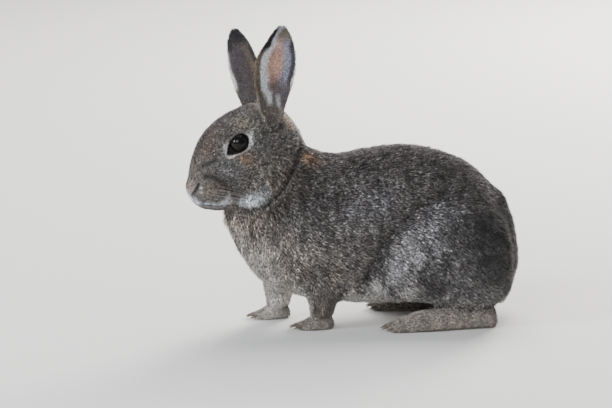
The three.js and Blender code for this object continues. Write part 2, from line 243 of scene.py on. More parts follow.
def in_fine_zone(points):
    fine = (head_places(points)[0] < NOSE_ZONE) & (distance_to(points, head_point(0, 0)) < MUZZLE_ZONE)
    for centre in EYE_CENTRES.values():
        fine |= distance_to(points, centre) < EYE_ZONE
    return fine


fine = in_fine_zone(places_of(skin_shape))
skin_shape.verts.index_update()
edges = [e for e in skin_shape.edges if fine[e.verts[0].index] and fine[e.verts[1].index]]
bmesh.ops.subdivide_edges(skin_shape, edges=edges, cuts=2, use_grid_fill=True)
fine = in_fine_zone(places_of(skin_shape))
smooth(skin_shape, SKIN_ROUNDS, [v for v, f in zip(skin_shape.verts, fine) if f])
skin_mesh = mesh_of(skin_shape, "skin")
print("skin:", len(skin_mesh.vertices), "points,", len(skin_mesh.polygons), "faces")

# %% [markdown]
# ## Which part of the body each point belongs to
# Coat depth, hair length, colour and the lie of the hair all change from part to part. Each point of the
# skin is given to the solid that it is nearest to, and the borders are then blurred along the mesh, so
# that everything read from them runs softly from one part into the next.

# %% Parts of the body, softly blended
REGIONS = ["trunk", "neck", "head", "thigh", "foreleg", "tail", "ear", "forepaw", "hind_foot"]
BLUR_ROUNDS = 40


def region_of(node):
    return next(i for i, region in enumerate(REGIONS) if node.startswith(region))


def read(collection, name, width, kind=np.float32):
    values = np.empty(len(collection) * width, dtype=kind)
    collection.foreach_get(name, values)
    return values.reshape(-1, width).astype(float if kind == np.float32 else int)


points = read(skin_mesh.vertices, "co", 3)
links = read(skin_mesh.edges, "vertices", 2, np.int32)
ends = np.concatenate([links, links[:, ::-1]])
link_count = np.bincount(ends[:, 0], minlength=len(points)).astype(float)


def blur(values, rounds):
    """Each point's values moved half way to the mean of its neighbours', again and again."""
    here, there = ends.T
    for _ in range(rounds):
        around = [np.bincount(here, weights=column[there], minlength=len(points)) for column in values.T]
        values = 0.5 * values + 0.5 * np.stack(around, axis=1) / link_count[:, None]
    return values


def share_of(weights, *regions):
    """How far each point belongs to these parts of the body, taken together."""
    return sum(weights[:, REGIONS.index(region)] for region in regions)


corners, faces, owners = [], [], []
for node in CORE + EARS + FEET:
    mesh = frame["nodes"][node].data
    faces += [[len(corners) + i for i in face.vertices] for face in mesh.polygons]
    corners += [v.co.copy() for v in mesh.vertices]
    owners += [region_of(node)] * len(mesh.polygons)
solids = BVHTree.FromPolygons(corners, faces)
owners = np.array([owners[solids.find_nearest(Vector(p))[2]] for p in points])
weights = blur(np.eye(len(REGIONS))[owners], BLUR_ROUNDS)
print({region: int((owners == i).sum()) for i, region in enumerate(REGIONS)})

# %% [markdown]
# ## From the outline of the coat down to the skin
# The solids reach to the tips of the hair, so the skin lies below them by the depth of the coat: a few
# millimetres on the body, hardly anything on the ears, the nose and the feet.

# %% Lower the skin by the coat's depth
COAT_DEPTH = {  # mm
    "trunk": 3.6, "neck": 3.6, "head": 1.6, "thigh": 3.5, "foreleg": 2.2, "tail": 3.6, "ear": 0.5,
    "forepaw": 0.8, "hind_foot": 0.9,
}
SETTLE_ROUNDS = 2


def by_region(table, weights):
    return weights @ np.array([table[region] for region in REGIONS])


def ramp(value, start, end):
    """0 before start, 1 past end, and a smooth rise between."""
    t = np.clip((value - start) / (end - start), 0, 1)
    return t * t * (3 - 2 * t)


def mix(a, b, share):
    return a + (b - a) * share


def normals_now():
    skin_mesh.vertices.foreach_set("co", points.ravel())
    skin_mesh.update()
    return read(skin_mesh.vertex_normals, "vector", 3)


thicker_back = mix(0.1, 1.3, ramp(head_places(points)[0], 5, 75))
depth = by_region(COAT_DEPTH, weights) * mix(1, thicker_back, share_of(weights, "head"))
points = points - normals_now() * (depth[:, None] * MM + GAP_CLOSER * 0.5)
points = blur(points, SETTLE_ROUNDS)
print("coat depth in mm:", depth.min().round(2), "to", depth.max().round(2))

# %% [markdown]
# ## Lids round the eyes
# A lid is a fold of skin that lies on the eyeball and leaves an almond open. For every point near an eye
# one number says how far out it is, with 1 on the edge of the almond. Inside the edge the skin dives
# behind the eyeball, on it it lies over the ball by a lid's thickness, and further out it eases back
# into the face.

# %% The almond and the lids
LID_THICKNESS = 0.8 * MM
BEHIND_BALL = 1.4 * MM
LID_EASE = 1.75  # where the lid has become the face again
ALMOND = {"front": 13.6, "behind": 8.8, "over": 7.0, "under": 7.3}  # reach from the eye's middle, in mm
FRONT_BULGE, REAR_BULGE = 1.4, 1.9  # 2 is an oval, less is more pointed at the corner
LOWER_LID_TURN = math.radians(7)  # the almond is turned, its front corner down


def gaze(side):
    """Where an eye looks: outwards, a little ahead and a little up."""
    outward = LEFTWARD if side == "left" else -LEFTWARD
    return (outward + FORWARD * 0.16 + UPWARD * 0.16).normalized()


def eye_places(points, side):
    """Millimetres ahead, up and outward from the middle of the eyeball, along the eye's own directions."""
    outward = gaze(side)
    ahead = (FORWARD - outward * FORWARD.dot(outward)).normalized()
    ahead = Quaternion(outward, LOWER_LID_TURN if side == "left" else -LOWER_LID_TURN) @ ahead
    up = outward.cross(ahead) * (1 if outward.cross(ahead).dot(UPWARD) > 0 else -1)
    reach = (points - np.array(EYE_CENTRES[side])) / MM
    return reach @ np.array(ahead), reach @ np.array(up), reach @ np.array(outward)


def almond_reach(x, y):
    across = np.where(x > 0, x / ALMOND["front"], -x / ALMOND["behind"])
    along = np.where(y > 0, y / ALMOND["over"], -y / ALMOND["under"])
    bulge = mix(REAR_BULGE, FRONT_BULGE, ramp(x, 0, ALMOND["front"] * 0.6))
    return (across**bulge + along**bulge) ** (1 / bulge)


def eye_reach(points):
    """The almond number of the nearer eye."""
    reaches = []
    for side in EYE_CENTRES:
        x, y, z = eye_places(points, side)
        reaches.append(np.where(z > -2, almond_reach(x, y), 9))
    return np.minimum(*reaches)


print("almond", ALMOND["front"] + ALMOND["behind"], "mm long")


# %% Shape the lids
def shape_lids(points):
    shaped = points.copy()
    ball, inner = EYE_RADIUS / MM, (EYE_RADIUS - BEHIND_BALL) / MM
    for side in EYE_CENTRES:
        x, y, z = eye_places(points, side)
        q = almond_reach(x, y)
        near = (z > -2) & (q < LID_EASE)
        flat = np.minimum(np.hypot(x, y), ball * 0.985)
        under = np.sqrt(inner**2 - np.minimum(flat, inner - 0.05) ** 2)
        over = np.sqrt((ball + LID_THICKNESS / MM) ** 2 - flat**2)
        over = mix(over, z, ramp(np.hypot(x, y), ball * 0.8, ball * 1.25))
        goal = np.where(q < 1, mix(under, over, ramp(q, 0.93, 1.0)), mix(over, z, ramp(q, 1.12, LID_EASE)))
        shaped += np.where(near, (goal - z), 0)[:, None] * np.array(gaze(side)) * MM
    return shaped


points = shape_lids(points)
print("lids shaped from", int((eye_reach(points) < LID_EASE).sum()), "points")

# %% [markdown]
# ## Nose, lips and whisker pads
# A rabbit's nose is two slanting slits that meet in a cleft, and the cleft splits the upper lip down to
# the mouth. Each of these is a groove along a line over the skin, so a line of a few places is enough:
# what is near the line sinks, and a soft swelling beside it makes the rim.

# %% Lines over the face
NOSTRIL = [(8.6, 7.6, 7.5), (6.0, 5.9, 6.6), (2.6, 3.9, 5.2), (0.4, 3.1, 4.0), (-1.2, 1.9, 1.8)]
CLEFT = [(-1.2, 1.9, 1.8), (-1.8, -1.5, 1.2), (-2.4, -5.1, 1.2)]
MOUTH = [(-2.6, -5.2, 4.0), (1.0, -9.2, 8.0), (6.3, -13.8, 11.0), (12.1, -18.0, 14.0)]
CREASE = [(20.3, 19.0, 10.0), (25.1, 18.8, 14.0), (31.2, 18.2, 17.0)]
PAD_EDGE = [(16.5, 10.3, 10), (20.7, 6.4, 13), (22.7, 1.2, 15), (23.7, -5.1, 16), (24.6, -10.7, 17),
            (23.3, -17.0, 17)]
UNDER_EYE = [(40.5, 13.5, 21), (45.1, 12.7, 22), (49.7, 11.8, 22.5), (54.6, 11.1, 23)]
JAW_LINE = [(92.8, -17.2, 26), (85.5, -23.3, 27), (77.1, -28.6, 27), (68.5, -32.6, 27), (59.2, -36.1, 27),
            (51.6, -37.8, 26), (42.8, -38.8, 24), (34.8, -37.0, 22), (27.9, -33.9, 20), (20.8, -29.5, 18)]
EAR_ROOT = [(95.9, 26.4, 16), (92.3, 19.7, 18), (88.7, 13.1, 20), (85.6, 8.0, 21)]
EAR_FRONT = [(92.1, 38.1, 14), (88.0, 30.8, 16), (83.9, 22.6, 19)]
EAR_UNDER = [(100.2, 14.4, 14), (95.8, 7.8, 18), (88.7, 4.0, 20), (81.0, 6.3, 21), (76.5, 11.4, 22)]
FACE_LINES = {"nostril": NOSTRIL, "cleft": CLEFT, "mouth": MOUTH, "crease": CREASE, "pad_edge": PAD_EDGE,
              "under_eye": UNDER_EYE, "jaw_line": JAW_LINE, "ear_root": EAR_ROOT, "ear_front": EAR_FRONT,
              "ear_under": EAR_UNDER}
OUTSIDE = 0.3  # metres: a start well outside the animal


def skin_tree(points):
    quads = [list(face.vertices) for face in skin_mesh.polygons]
    return BVHTree.FromPolygons([Vector(p) for p in points], quads)


def distance_to_line(points, line):
    """From each point to the nearest place on a line through a few places, in millimetres."""
    nearest = np.full(len(points), 1e3)
    for start, end in zip(line, line[1:]):
        start, along = np.array(start), np.array(end) - np.array(start)
        share = np.clip((points - start) @ along / (along @ along), 0, 1)
        nearest = np.minimum(nearest, np.linalg.norm(points - start - share[:, None] * along, axis=1) / MM)
    return nearest


def on_face(tree, place):
    """Where the camera's sight of a place on the left of the head meets the skin, and its mirror image."""
    aim = head_point(*place)
    seen = tree.ray_cast(aim + TO_CAMERA * OUTSIDE, -TO_CAMERA)[0] or tree.find_nearest(aim)[0]
    back, above, left = head_places(np.array(seen))
    return seen, tree.find_nearest(head_point(back, above, -left))[0]


def on_skin(tree, places):
    """The same line on both sides of the head, laid down on the skin."""
    return list(zip(*(on_face(tree, place) for place in places)))


tree = skin_tree(points)
LINES = {name: on_skin(tree, places) for name, places in FACE_LINES.items()}


def line_reach(points, name):
    """Millimetres from the nearer of a line and its mirror image."""
    return np.minimum(*(distance_to_line(points, line) for line in LINES[name]))


print("lines:", ", ".join(LINES))

# %% Grooves, folds and swellings
SLITS = {  # depth and width in mm
    "nostril": (2.0, 0.85), "cleft": (1.3, 0.8), "mouth": (1.3, 0.9), "crease": (1.0, 0.9),
}
SOFT_FOLDS = {  # height and width in mm
    "pad_edge": (-0.9, 1.8), "jaw_line": (-3.8, 4.2), "ear_root": (4.0, 7.0), "ear_front": (-1.6, 2.6),
    "ear_under": (-2.6, 3.0),
}
SWELLINGS = [  # place, height and width in mm
    ((15.5, -3.0, 14.0), 1.8, 7.5), ((0.5, -6.0, 5.5), 0.8, 4.0), ((3.0, 10.0, 5.0), 0.6, 3.5),
    ((8.3, 3.0, 9.0), 0.6, 2.4), ((64.0, 29.0, 18.0), 1.6, 6.5), ((6.0, -21.0, 4.0), 0.8, 7.0),
    ((44.0, -20.0, 26.0), 1.5, 12.0),
]


def bell(distance, width):
    """1 where the distance is 0, falling softly to nothing at about twice the width."""
    return np.exp(-((distance / width) ** 2))


def spot(points, place, width):
    return bell(distance_to(points, place) / MM, width)


normals = normals_now()
rise = np.zeros(len(points))
for name, (drop, width) in SLITS.items():
    distance = line_reach(points, name)
    rise -= drop * bell(distance, width)
    rise += 0.3 * drop * bell(distance - 2.2 * width, width)
for place, height, width in SWELLINGS:
    for spot_on_face in on_face(tree, place):
        rise += height * spot(points, spot_on_face, width)
rise *= ramp(share_of(weights, "head"), 0.3, 0.8)
for name, (height, width) in SOFT_FOLDS.items():
    rise += height * bell(line_reach(points, name), width) * (1 - share_of(weights, "ear"))
points = points + normals * (rise * ramp(eye_reach(points), 1.1, 1.6))[:, None] * MM
print("deepest groove", rise.min().round(2), "highest swelling", rise.max().round(2))

# %% [markdown]
# Toes are told apart by a furrow between each two. The claws are known solids, so each furrow starts
# midway between two claws and runs back over the foot.

# %% Furrows between the toes
FURROW_LENGTH = {"forepaw": 14, "hind_foot": 24}  # mm
FURROW_DEPTH, FURROW_WIDTH = 1.5, 1.2
FURROW_START, FURROW_CLIMB = 2 * MM, 4 * MM


def toe_lines():
    lines = []
    for foot in FEET:
        nodes = [node for node in frame["nodes"] if node.startswith(foot + "_claw")]
        claws = sorted((middle_of(node) for node in nodes), key=lambda claw: claw.y)
        backward = (middle_of(foot) - sum(claws, Vector()) / len(claws)).normalized()
        backward.z = 0
        for one, other in zip(claws, claws[1:]):
            start = (one + other) / 2 + backward * FURROW_START + Vector((0, 0, FURROW_START))
            length = FURROW_LENGTH[foot.rsplit("_", 1)[0]] * MM
            lines.append([start, start + backward * length + Vector((0, 0, FURROW_CLIMB))])
    return lines


TOE_LINES = toe_lines()


def between_toes(points, weights, width=FURROW_WIDTH):
    """1 in the furrows between the toes, 0 away from them."""
    nearest = np.min([distance_to_line(points, line) for line in TOE_LINES], axis=0)
    return bell(nearest, width) * share_of(weights, "forepaw", "hind_foot")


furrow = FURROW_DEPTH * between_toes(points, weights, 2 * FURROW_WIDTH)
points = points - normals_now() * furrow[:, None] * MM
print(len(TOE_LINES), "furrows")

# %% [markdown]
# The haunch is a heavy muscle under loose skin. Where it meets the flank the skin folds in, from the knee
# up and back over the thigh, and the muscle swells behind the fold.

# %% Fold in front of the haunch
FOLD = [  # millimetres along and up
    (2, 42), (7, 54), (12, 64), (17, 75), (27, 86), (39, 98), (53, 109), (68, 116), (84, 120),
]
FOLD_DEPTH, FOLD_WIDTH = 5.0, 8.0
HAUNCH_SWELL, SWELL_BEHIND, SWELL_WIDTH = 1.6, 14, 12


def distance_to_fold(points):
    """Millimetres from the fold, seen from the side, and whether a point is behind it."""
    flat = points[:, [0, 2]] / MM
    nearest, behind = np.full(len(points), 1e3), np.zeros(len(points))
    for start, end in zip(np.array(FOLD, dtype=float), np.array(FOLD[1:], dtype=float)):
        along = end - start
        share = np.clip((flat - start) @ along / (along @ along), 0, 1)
        off = flat - start - share[:, None] * along
        distance = np.linalg.norm(off, axis=1)
        behind = np.where(distance < nearest, off[:, 0] * along[1] - off[:, 1] * along[0], behind)
        nearest = np.minimum(nearest, distance)
    return nearest, behind > 0


on_side = ramp(np.abs(points[:, 1]) / MM, 26, 38) * (1 - share_of(weights, "hind_foot"))
from_fold, behind_fold = distance_to_fold(points)
fade = ramp(points[:, 0] / MM, 92, 70)
sink = -FOLD_DEPTH * bell(from_fold, FOLD_WIDTH) * fade
swell = HAUNCH_SWELL * bell(from_fold - SWELL_BEHIND, SWELL_WIDTH) * behind_fold
points = points + normals_now() * ((sink + swell) * on_side)[:, None] * MM
print("fold laid in", int((from_fold < FOLD_WIDTH).sum()), "points")

# %% [markdown]
# ## The markings
# Wild rabbit fur is agouti: each hair is grey at the root, then tan, then black at the tip, and the parts
# of the body differ in how much of each shows. The markings are worked out once, as a colour for any
# place on the animal, and the skin and every tuft of hair both read it, so they can't disagree. Colours
# are given as they look, from 0 to 255, and turned into light amounts at the end.
# Some of the marks also paint light and shade into the coat: a rim of light along the nape, light on the
# front of the haunch, and shadow under the jaw, at the root of the ear, in the fold before the haunch and at
# its rear.

# %% Shades of each part, and marks on the head
SHADES = {
    "trunk": (104, 101, 101), "neck": (104, 98, 93), "head": (104, 101, 99), "thigh": (102, 101, 102),
    "foreleg": (112, 106, 102), "tail": (60, 58, 57), "ear": (88, 82, 78), "forepaw": (146, 138, 130),
    "hind_foot": (146, 138, 130),
}
HEAD_MARKS = [  # colour, place on the left (mirrored to the right), width in mm, strength
    ((146, 128, 118), (2.6, 9.6, 3), 5, 0.8),  # tip of the nose
    ((122, 100, 84), (30.2, 28.2, 8), 9, 0.5),  # front of the face
    ((112, 96, 84), (43.1, 34.7, 10), 9, 0.45),
    ((110, 98, 90), (15.8, 20.2, 4), 8, 0.5),
    ((104, 92, 80), (14.9, 0.8, 14), 6.5, 0.85),  # whisker pad
    ((108, 94, 82), (19.7, -4.2, 15), 5, 0.8),
    ((92, 80, 72), (17.8, -9.2, 16), 4.6, 0.8),
    ((108, 96, 86), (8.2, -1.9, 12), 4.5, 0.8),
    ((196, 186, 176), (8.1, 4.5, 8), 1.5, 0.9),  # rim of the nostril
    ((182, 174, 166), (5.4, 0.5, 8), 1.7, 0.85),
    ((108, 108, 112), (34.8, 6.8, 20), 7, 0.6),  # grey before the cheek
    ((138, 134, 136), (31.5, 4.9, 19), 5, 0.7),
    ((190, 188, 192), (20.7, -13.7, 17), 2.6, 0.8),
    ((76, 70, 74), (28.6, -6.0, 20), 2.4, 0.6),  # dark behind the pad
    ((66, 60, 66), (27.7, -13.2, 20), 3.2, 0.8),
    ((66, 62, 70), (24.9, -19.9, 20), 3.2, 0.8),
    ((240, 238, 248), (-4.7, 3.1, 2), 3.8, 0.95),  # lips
    ((240, 238, 248), (-4.2, -1.7, 3), 3.6, 0.95),
    ((214, 216, 230), (-1.6, -4.8, 6), 2.8, 0.85),
    ((196, 206, 212), (3.2, -9.6, 10), 2.4, 0.85),
    ((196, 206, 212), (8.0, -13.5, 13), 2.6, 0.85),
    ((206, 212, 216), (13.3, -15.8, 15), 3.0, 0.85),
    ((232, 234, 238), (17.9, -17.2, 16), 3.4, 0.9),
    ((214, 224, 232), (24.7, -23.1, 20), 3.2, 0.95),  # jaw
    ((222, 232, 240), (30.1, -23.8, 22), 3.6, 0.95),
    ((222, 232, 240), (34.9, -25.2, 24), 3.8, 0.95),
    ((208, 216, 224), (39.9, -26.9, 25), 4.2, 0.9),
    ((190, 197, 204), (47.0, -26.3, 26), 4.4, 0.8),
    ((200, 206, 212), (28.5, -28.6, 20), 3.0, 0.8),
    ((205, 200, 204), (42.2, 23.6, 20), 2.8, 0.85),  # pale before the eye
    ((205, 200, 204), (41.0, 20.2, 20), 2.6, 0.85),
    ((196, 190, 192), (39.9, 16.4, 21), 2.0, 0.8),
    ((140, 114, 96), (48.5, 7.1, 25), 4.4, 0.8),  # tan under the eye
    ((134, 110, 94), (49.5, 1.5, 26), 4.2, 0.7),
    ((128, 112, 100), (55.1, 3.2, 25), 3.4, 0.5),
    ((138, 132, 116), (68.0, 27.1, 17), 5.6, 0.75),  # brow
    ((136, 130, 116), (61.7, 30.7, 17), 4.6, 0.6),
    ((124, 118, 108), (70.2, 20.9, 18), 4.6, 0.5),
    ((110, 110, 102), (71.6, 12.3, 22), 6, 0.5),  # temple
    ((160, 138, 108), (98.7, 7.8, 14), 4.2, 0.8),  # tan behind the ear
    ((150, 130, 104), (97.0, -1.2, 13), 4.0, 0.7),
    ((152, 114, 84), (92.4, -29.2, 22), 4.8, 0.85),  # orange at the nape
    ((134, 110, 90), (94.9, -35.4, 24), 4.6, 0.6),
    ((212, 178, 136), (105.7, 5.2, 4), 3.6, 0.8),  # painted rim light along the edge of the nape
    ((212, 178, 136), (106.1, -3.6, 4), 3.6, 0.8),
    ((212, 178, 136), (105.1, -12.4, 4), 3.6, 0.8),
    ((206, 172, 132), (103.4, -22.4, 4), 3.6, 0.8),
    ((198, 166, 130), (103.2, -30.2, 4), 3.6, 0.8),
    ((184, 156, 126), (105.5, -37.9, 4), 3.6, 0.7),
    ((190, 180, 170), (17.3, -40.7, 12), 8, 0.85),  # throat
    ((150, 141, 132), (26.2, -47.9, 18), 7, 0.7),
    ((126, 116, 108), (20.0, -34.4, 14), 6, 0.6),
    ((126, 116, 108), (24.2, -43.3, 20), 9, 0.5),
    ((62, 57, 56), (83.1, 25.0, 12), 5.4, 0.85),  # darker fur with painted shadow before the root of the ear
    ((76, 70, 66), (79.7, 19.7, 16), 4.0, 0.6),
    ((112, 104, 98), (83.7, 13.0, 21), 5, 0.7),  # root of the ear
    ((116, 108, 102), (91.8, 19.0, 18), 5, 0.7),
    ((150, 140, 132), (24.0, -33.0, 0.0), 8, 0.6),
    ((112, 100, 92), (84.0, 26.0, 8.0), 8, 0.5),  # between the ears
]
print("shades:", len(SHADES), "marks on the head:", len(HEAD_MARKS))

# %% Colour of the head
LINE_SHADES = {  # colour, width in mm, strength
    # jaw_line: painted shadow where the jaw overhangs the neck
    "jaw_line": ((34, 31, 31), 3.8, 0.9), "pad_edge": ((38, 28, 28), 2.3, 0.85),
    "crease": ((10, 8, 8), 1.9, 1.0), "nostril": ((12, 9, 10), 1.6, 1.0), "mouth": ((88, 86, 98), 1.0, 0.8),
    "cleft": ((66, 54, 62), 1.1, 0.9), "under_eye": ((206, 200, 194), 1.1, 0.9),
    # ear_front: painted shade in the crease before the ear's root; ear_under: painted shadow under that root
    "ear_front": ((52, 47, 44), 2.2, 0.7), "ear_under": ((42, 38, 36), 2.4, 0.8),
}
RING_BEHIND = (208, 214, 214)  # pale crescent behind the eye
LID_RIM = (22, 18, 19)
CROWN = (80, 70, 76)  # dark line along the top of the head
MARK_PLACES = {place: on_face(tree, place) for _, place, _, _ in HEAD_MARKS}
CRESCENT_PLACES, CRESCENT_AT, CRESCENT_WIDTH = on_face(tree, (62.6, 13.1, 22.0)), 1.27, 0.13


def light(shade):
    """A colour as it looks, 0 to 255, as an amount of light."""
    share = np.asarray(shade, dtype=float) / 255
    return np.where(share <= 0.04045, share / 12.92, ((share + 0.055) / 1.055) ** 2.4)


def laid(colour, shade, share):
    return mix(colour, light(shade), np.clip(share, 0, 1)[:, None])


def colour_head(colour, points, face):
    for shade, mark, width, strength in HEAD_MARKS:
        for place in MARK_PLACES[mark]:
            colour = laid(colour, shade, face * strength * spot(points, place, width))
    for name, (shade, width, strength) in LINE_SHADES.items():
        colour = laid(colour, shade, strength * face * bell(line_reach(points, name), width))
    q = eye_reach(points)
    back, above, left = head_places(points)
    for place in CRESCENT_PLACES:
        ring = bell(q - CRESCENT_AT, CRESCENT_WIDTH) * ramp(back, 55, 59) * ramp(above, 22, 18)
        colour = laid(colour, RING_BEHIND, face * 1.2 * ring * spot(points, place, 9))
    crown = ramp(np.abs(left), 8, 3) * ramp(back, 12, 24) * ramp(back, 84, 70) * ramp(above, 0, 10)
    colour = laid(colour, CROWN, face * crown * 0.7)
    return laid(colour, LID_RIM, ramp(q, 1.12, 1.04) * (q < 5))


print("black as light:", light((0, 0, 0)), "and white:", light((255, 255, 255)))

# %% Colour of the body
BODY_MARKS = [  # colour, places along and up, width in mm, strength
    ((84, 79, 77), [(-9, 140), (34, 147), (77, 137)], 18, 0.5),  # withers and back
    ((118, 118, 125), [(12, 113), (-5, 105)], 14, 0.6),  # upper flank
    ((70, 66, 65), [(-65, 115), (-73, 107)], 9, 0.6),  # painted shadow in the hollow behind the cheek
    ((52, 49, 48), [(-52, 143), (-46, 135), (-51, 124), (-43, 122)], 8, 0.75),  # painted shadow behind the cheek
    ((56, 53, 52), [(-35, 138), (-25, 113)], 9, 0.5),
    ((126, 121, 118), [(-26, 77), (-9, 86), (-9, 61)], 16, 0.55),  # shoulder
    ((136, 127, 121), [(-94, 90), (-84, 72)], 14, 0.7),  # breast
    ((160, 152, 146), [(-84, 98), (-81, 87), (-76, 74), (-81, 61), (-70, 60)], 10, 0.75),
    ((196, 188, 182), [(-97, 82), (-90, 72)], 9, 0.8),
    ((156, 148, 142), [(-63, 82), (-57, 68), (-50, 72), (-54, 55)], 11, 0.75),
    ((166, 158, 152), [(-73, 55), (-65, 46)], 12, 0.85),
    ((132, 124, 118), [(-52, 54)], 9, 0.6),
    ((152, 143, 135), [(-25, 49), (-20, 56)], 8, 0.65),  # above the elbow
    ((44, 42, 42), [(72, 137), (86, 126), (101, 112), (74, 122)], 13, 0.6),  # top of the rump
    ((34, 32, 32), [(110, 100)], 11, 0.6),
    ((62, 60, 60), [(-2, 138), (38, 136)], 10, 0.45),
    ((24, 22, 24), [(5, 49), (12, 58), (15, 67), (19, 77), (27, 86)], 6.5, 0.95),  # painted shadow in the fold
    ((130, 126, 126), [(-9, 84), (-10, 66), (-12, 50)], 7, 0.6),
    # painted shadow at the top of the fold
    ((36, 34, 36), [(37, 97), (48, 106)], 6, 0.8),
    ((190, 189, 193), [(28, 59), (34, 70), (39, 79), (44, 68)], 8, 0.85),  # haunch: paler fur, with painted light on its front
    ((160, 158, 160), [(25, 49), (33, 50)], 7, 0.8),
    ((144, 143, 148), [(50, 87), (58, 93), (60, 78)], 9, 0.75),
    ((128, 128, 132), [(73, 104), (62, 106), (84, 104)], 7, 0.6),
    ((222, 218, 216), [(12, 40), (14, 31)], 6, 0.95),  # white of the knee
    # darker fur, with painted shade, low on the rear of the thigh
    ((52, 50, 50), [(55, 48), (62, 44)], 9, 0.8),
    ((222, 218, 216), [(37, 36), (40, 29), (41, 22)], 6, 0.95),
    ((58, 57, 58), [(86, 76), (82, 92)], 10, 0.5),  # rear of the haunch: darker fur, with painted shade
    ((12, 11, 12), [(99, 80), (102, 66), (112, 84), (114, 68), (100, 93), (124, 62), (122, 80)], 13, 0.9),
    ((40, 39, 40), [(114, 49), (104, 46)], 10, 0.6),
]


def on_sides(tree, x, z):
    """Where lines from the left and the right meet the flanks at a place along and up."""
    starts = [(Vector((x * MM, side * OUTSIDE, z * MM)), Vector((0, -side, 0))) for side in (-1, 1)]
    return [hit[0] for hit in (tree.ray_cast(*start) for start in starts) if hit[0]]


BODY_PLACES = [[place for x, z in spots for place in on_sides(tree, x, z)] for _, spots, _, _ in BODY_MARKS]


def colour_body(colour, points, normals, weights):
    x, y, z = (points / MM).T
    thigh, trunk, neck, tail = (share_of(weights, name) for name in ("thigh", "trunk", "neck", "tail"))
    body = thigh + trunk + neck + share_of(weights, "hind_foot") * ramp(z, 17, 24)
    colour = laid(colour, (222, 218, 212), tail * ramp(normals[:, 2], 0.15, -0.35))
    colour = laid(colour, (82, 77, 77), (trunk + thigh) * ramp(normals[:, 2], 0.3, 0.9) * 0.7)
    # darker fur, with painted shade, towards the rear of the rump
    colour = laid(colour, (48, 46, 46), (thigh + trunk) * ramp(x, 100, 130) * 0.8)
    for (shade, _, width, strength), places in zip(BODY_MARKS, BODY_PLACES):
        nearest = np.min([distance_to(points, place) for place in places], axis=0) / MM
        colour = laid(colour, shade, strength * bell(nearest, width) * body)
    beneath = ramp(normals[:, 2], -0.4, -0.8) * ramp(z, 60, 35)
    colour = laid(colour, (206, 202, 196), (trunk + thigh * 0.2) * beneath)
    colour = laid(colour, (200, 196, 192), (trunk + neck) * ramp(x, -58, -84) * ramp(z, 88, 50) * 0.8)
    foreleg = share_of(weights, "foreleg") + share_of(weights, "forepaw") * 0.3
    colour = laid(colour, (204, 199, 195), foreleg * ramp(np.abs(y), 20, 14))
    colour = laid(colour, (58, 50, 46), between_toes(points, weights) * 0.75)
    return laid(colour, (204, 196, 190), foreleg * ramp(normals[:, 0], -0.6, -0.95) * 0.6)


print("marks on the body:", len(BODY_MARKS), "over", sum(len(places) for places in BODY_PLACES), "places")

# %% [markdown]
# ### Ears
# An ear is a leaf of skin rolled into a trough. Its hollow side is thinly haired and pink where light
# comes through, and its back carries the same short fur as the head, with a black edge at the tip. To
# tell the two sides apart, each point is compared with a line up the middle of the trough.

# %% Hollow and back of each ear
EAR_OPENS = {"left": 80.0, "right": -76.0}  # how far each opening is turned from straight ahead, in degrees
EAR_FLARE = {"left": 4.6, "right": 0.0}  # mm by which the front margin is wider below the tip
TROUGH_DEPTH = 16 * MM
HEAD_YAW = math.atan2(-FORWARD.y, -FORWARD.x)


def ear_frame(side):
    """Middle, direction from root to tip, the way the trough opens, and the way that is ahead of both."""
    places = np.array([v.co for v in frame["nodes"][f"ear_{side}"].data.vertices])
    middle = places.mean(axis=0)
    along = np.linalg.svd(places - middle, full_matrices=False)[2][0]
    along = along * np.sign(along[2])
    turn = HEAD_YAW + math.radians(EAR_OPENS[side])
    opening = np.array((-math.cos(turn), -math.sin(turn), 0.0))
    opening -= along * (opening @ along)
    opening /= np.linalg.norm(opening)
    ahead = np.cross(along, opening)
    return middle, along, opening, ahead * (1 if ahead @ np.array(FORWARD) > 0 else -1), places


def flare(share, side):
    return EAR_FLARE[side] * ramp(share, 0.02, 0.16) * ramp(share, 0.86, 0.6)


def ear_margins(side):
    """How far ahead and behind an ear reaches, at each of a few heights."""
    middle, along, opening, ahead, places = EAR_FRAMES[side]
    up, front = (places - middle) @ along, (places - middle) @ ahead
    share = np.linspace(0, 1, 15)
    heights = mix(up.min(), up.max(), share)
    near = [np.abs(up - height) < 0.06 * (up.max() - up.min()) for height in heights]
    fronts = np.array([front[n].max() for n in near]) + flare(share, side) * MM
    return heights, fronts, [front[n].min() for n in near]


EAR_FRAMES = {side: ear_frame(side) for side in EYE_CENTRES}
EAR_MARGINS = {side: ear_margins(side) for side in EYE_CENTRES}
print("ears open to", EAR_OPENS)


# %% Places on an ear, and the wider front margin
def ear_places(points, normals, side):
    """Share of the way from root to tip, mm in from the front and rear margins, and 1 in the hollow."""
    middle, along, opening, ahead, _ = EAR_FRAMES[side]
    heights, fronts, rears = EAR_MARGINS[side]
    up, front = (points - middle) @ along, (points - middle) @ ahead
    share = (up - heights[0]) / (heights[-1] - heights[0])
    toward = middle + along * up[:, None] + opening * TROUGH_DEPTH - points
    toward /= np.linalg.norm(toward, axis=1)[:, None]
    hollow = ramp((toward * normals).sum(axis=1), 0.0, 0.5)
    from_front = (np.interp(up, heights, fronts) - front) / MM
    return share, from_front, (front - np.interp(up, heights, rears)) / MM, hollow


def own_ear(points, weights, side):
    return share_of(weights, "ear") * ((head_places(points)[2] > 0) == (side == "left"))


for side in EYE_CENTRES:
    _, along, opening, ahead, _ = EAR_FRAMES[side]
    share, from_front, _, _ = ear_places(points, normals, side)
    push = flare(share, side) * ramp(from_front, 16, 5) * own_ear(points, weights, side)
    points = points + ahead * push[:, None] * MM
    print(side, "ear rises along", along.round(2), "and opens towards", opening.round(2))


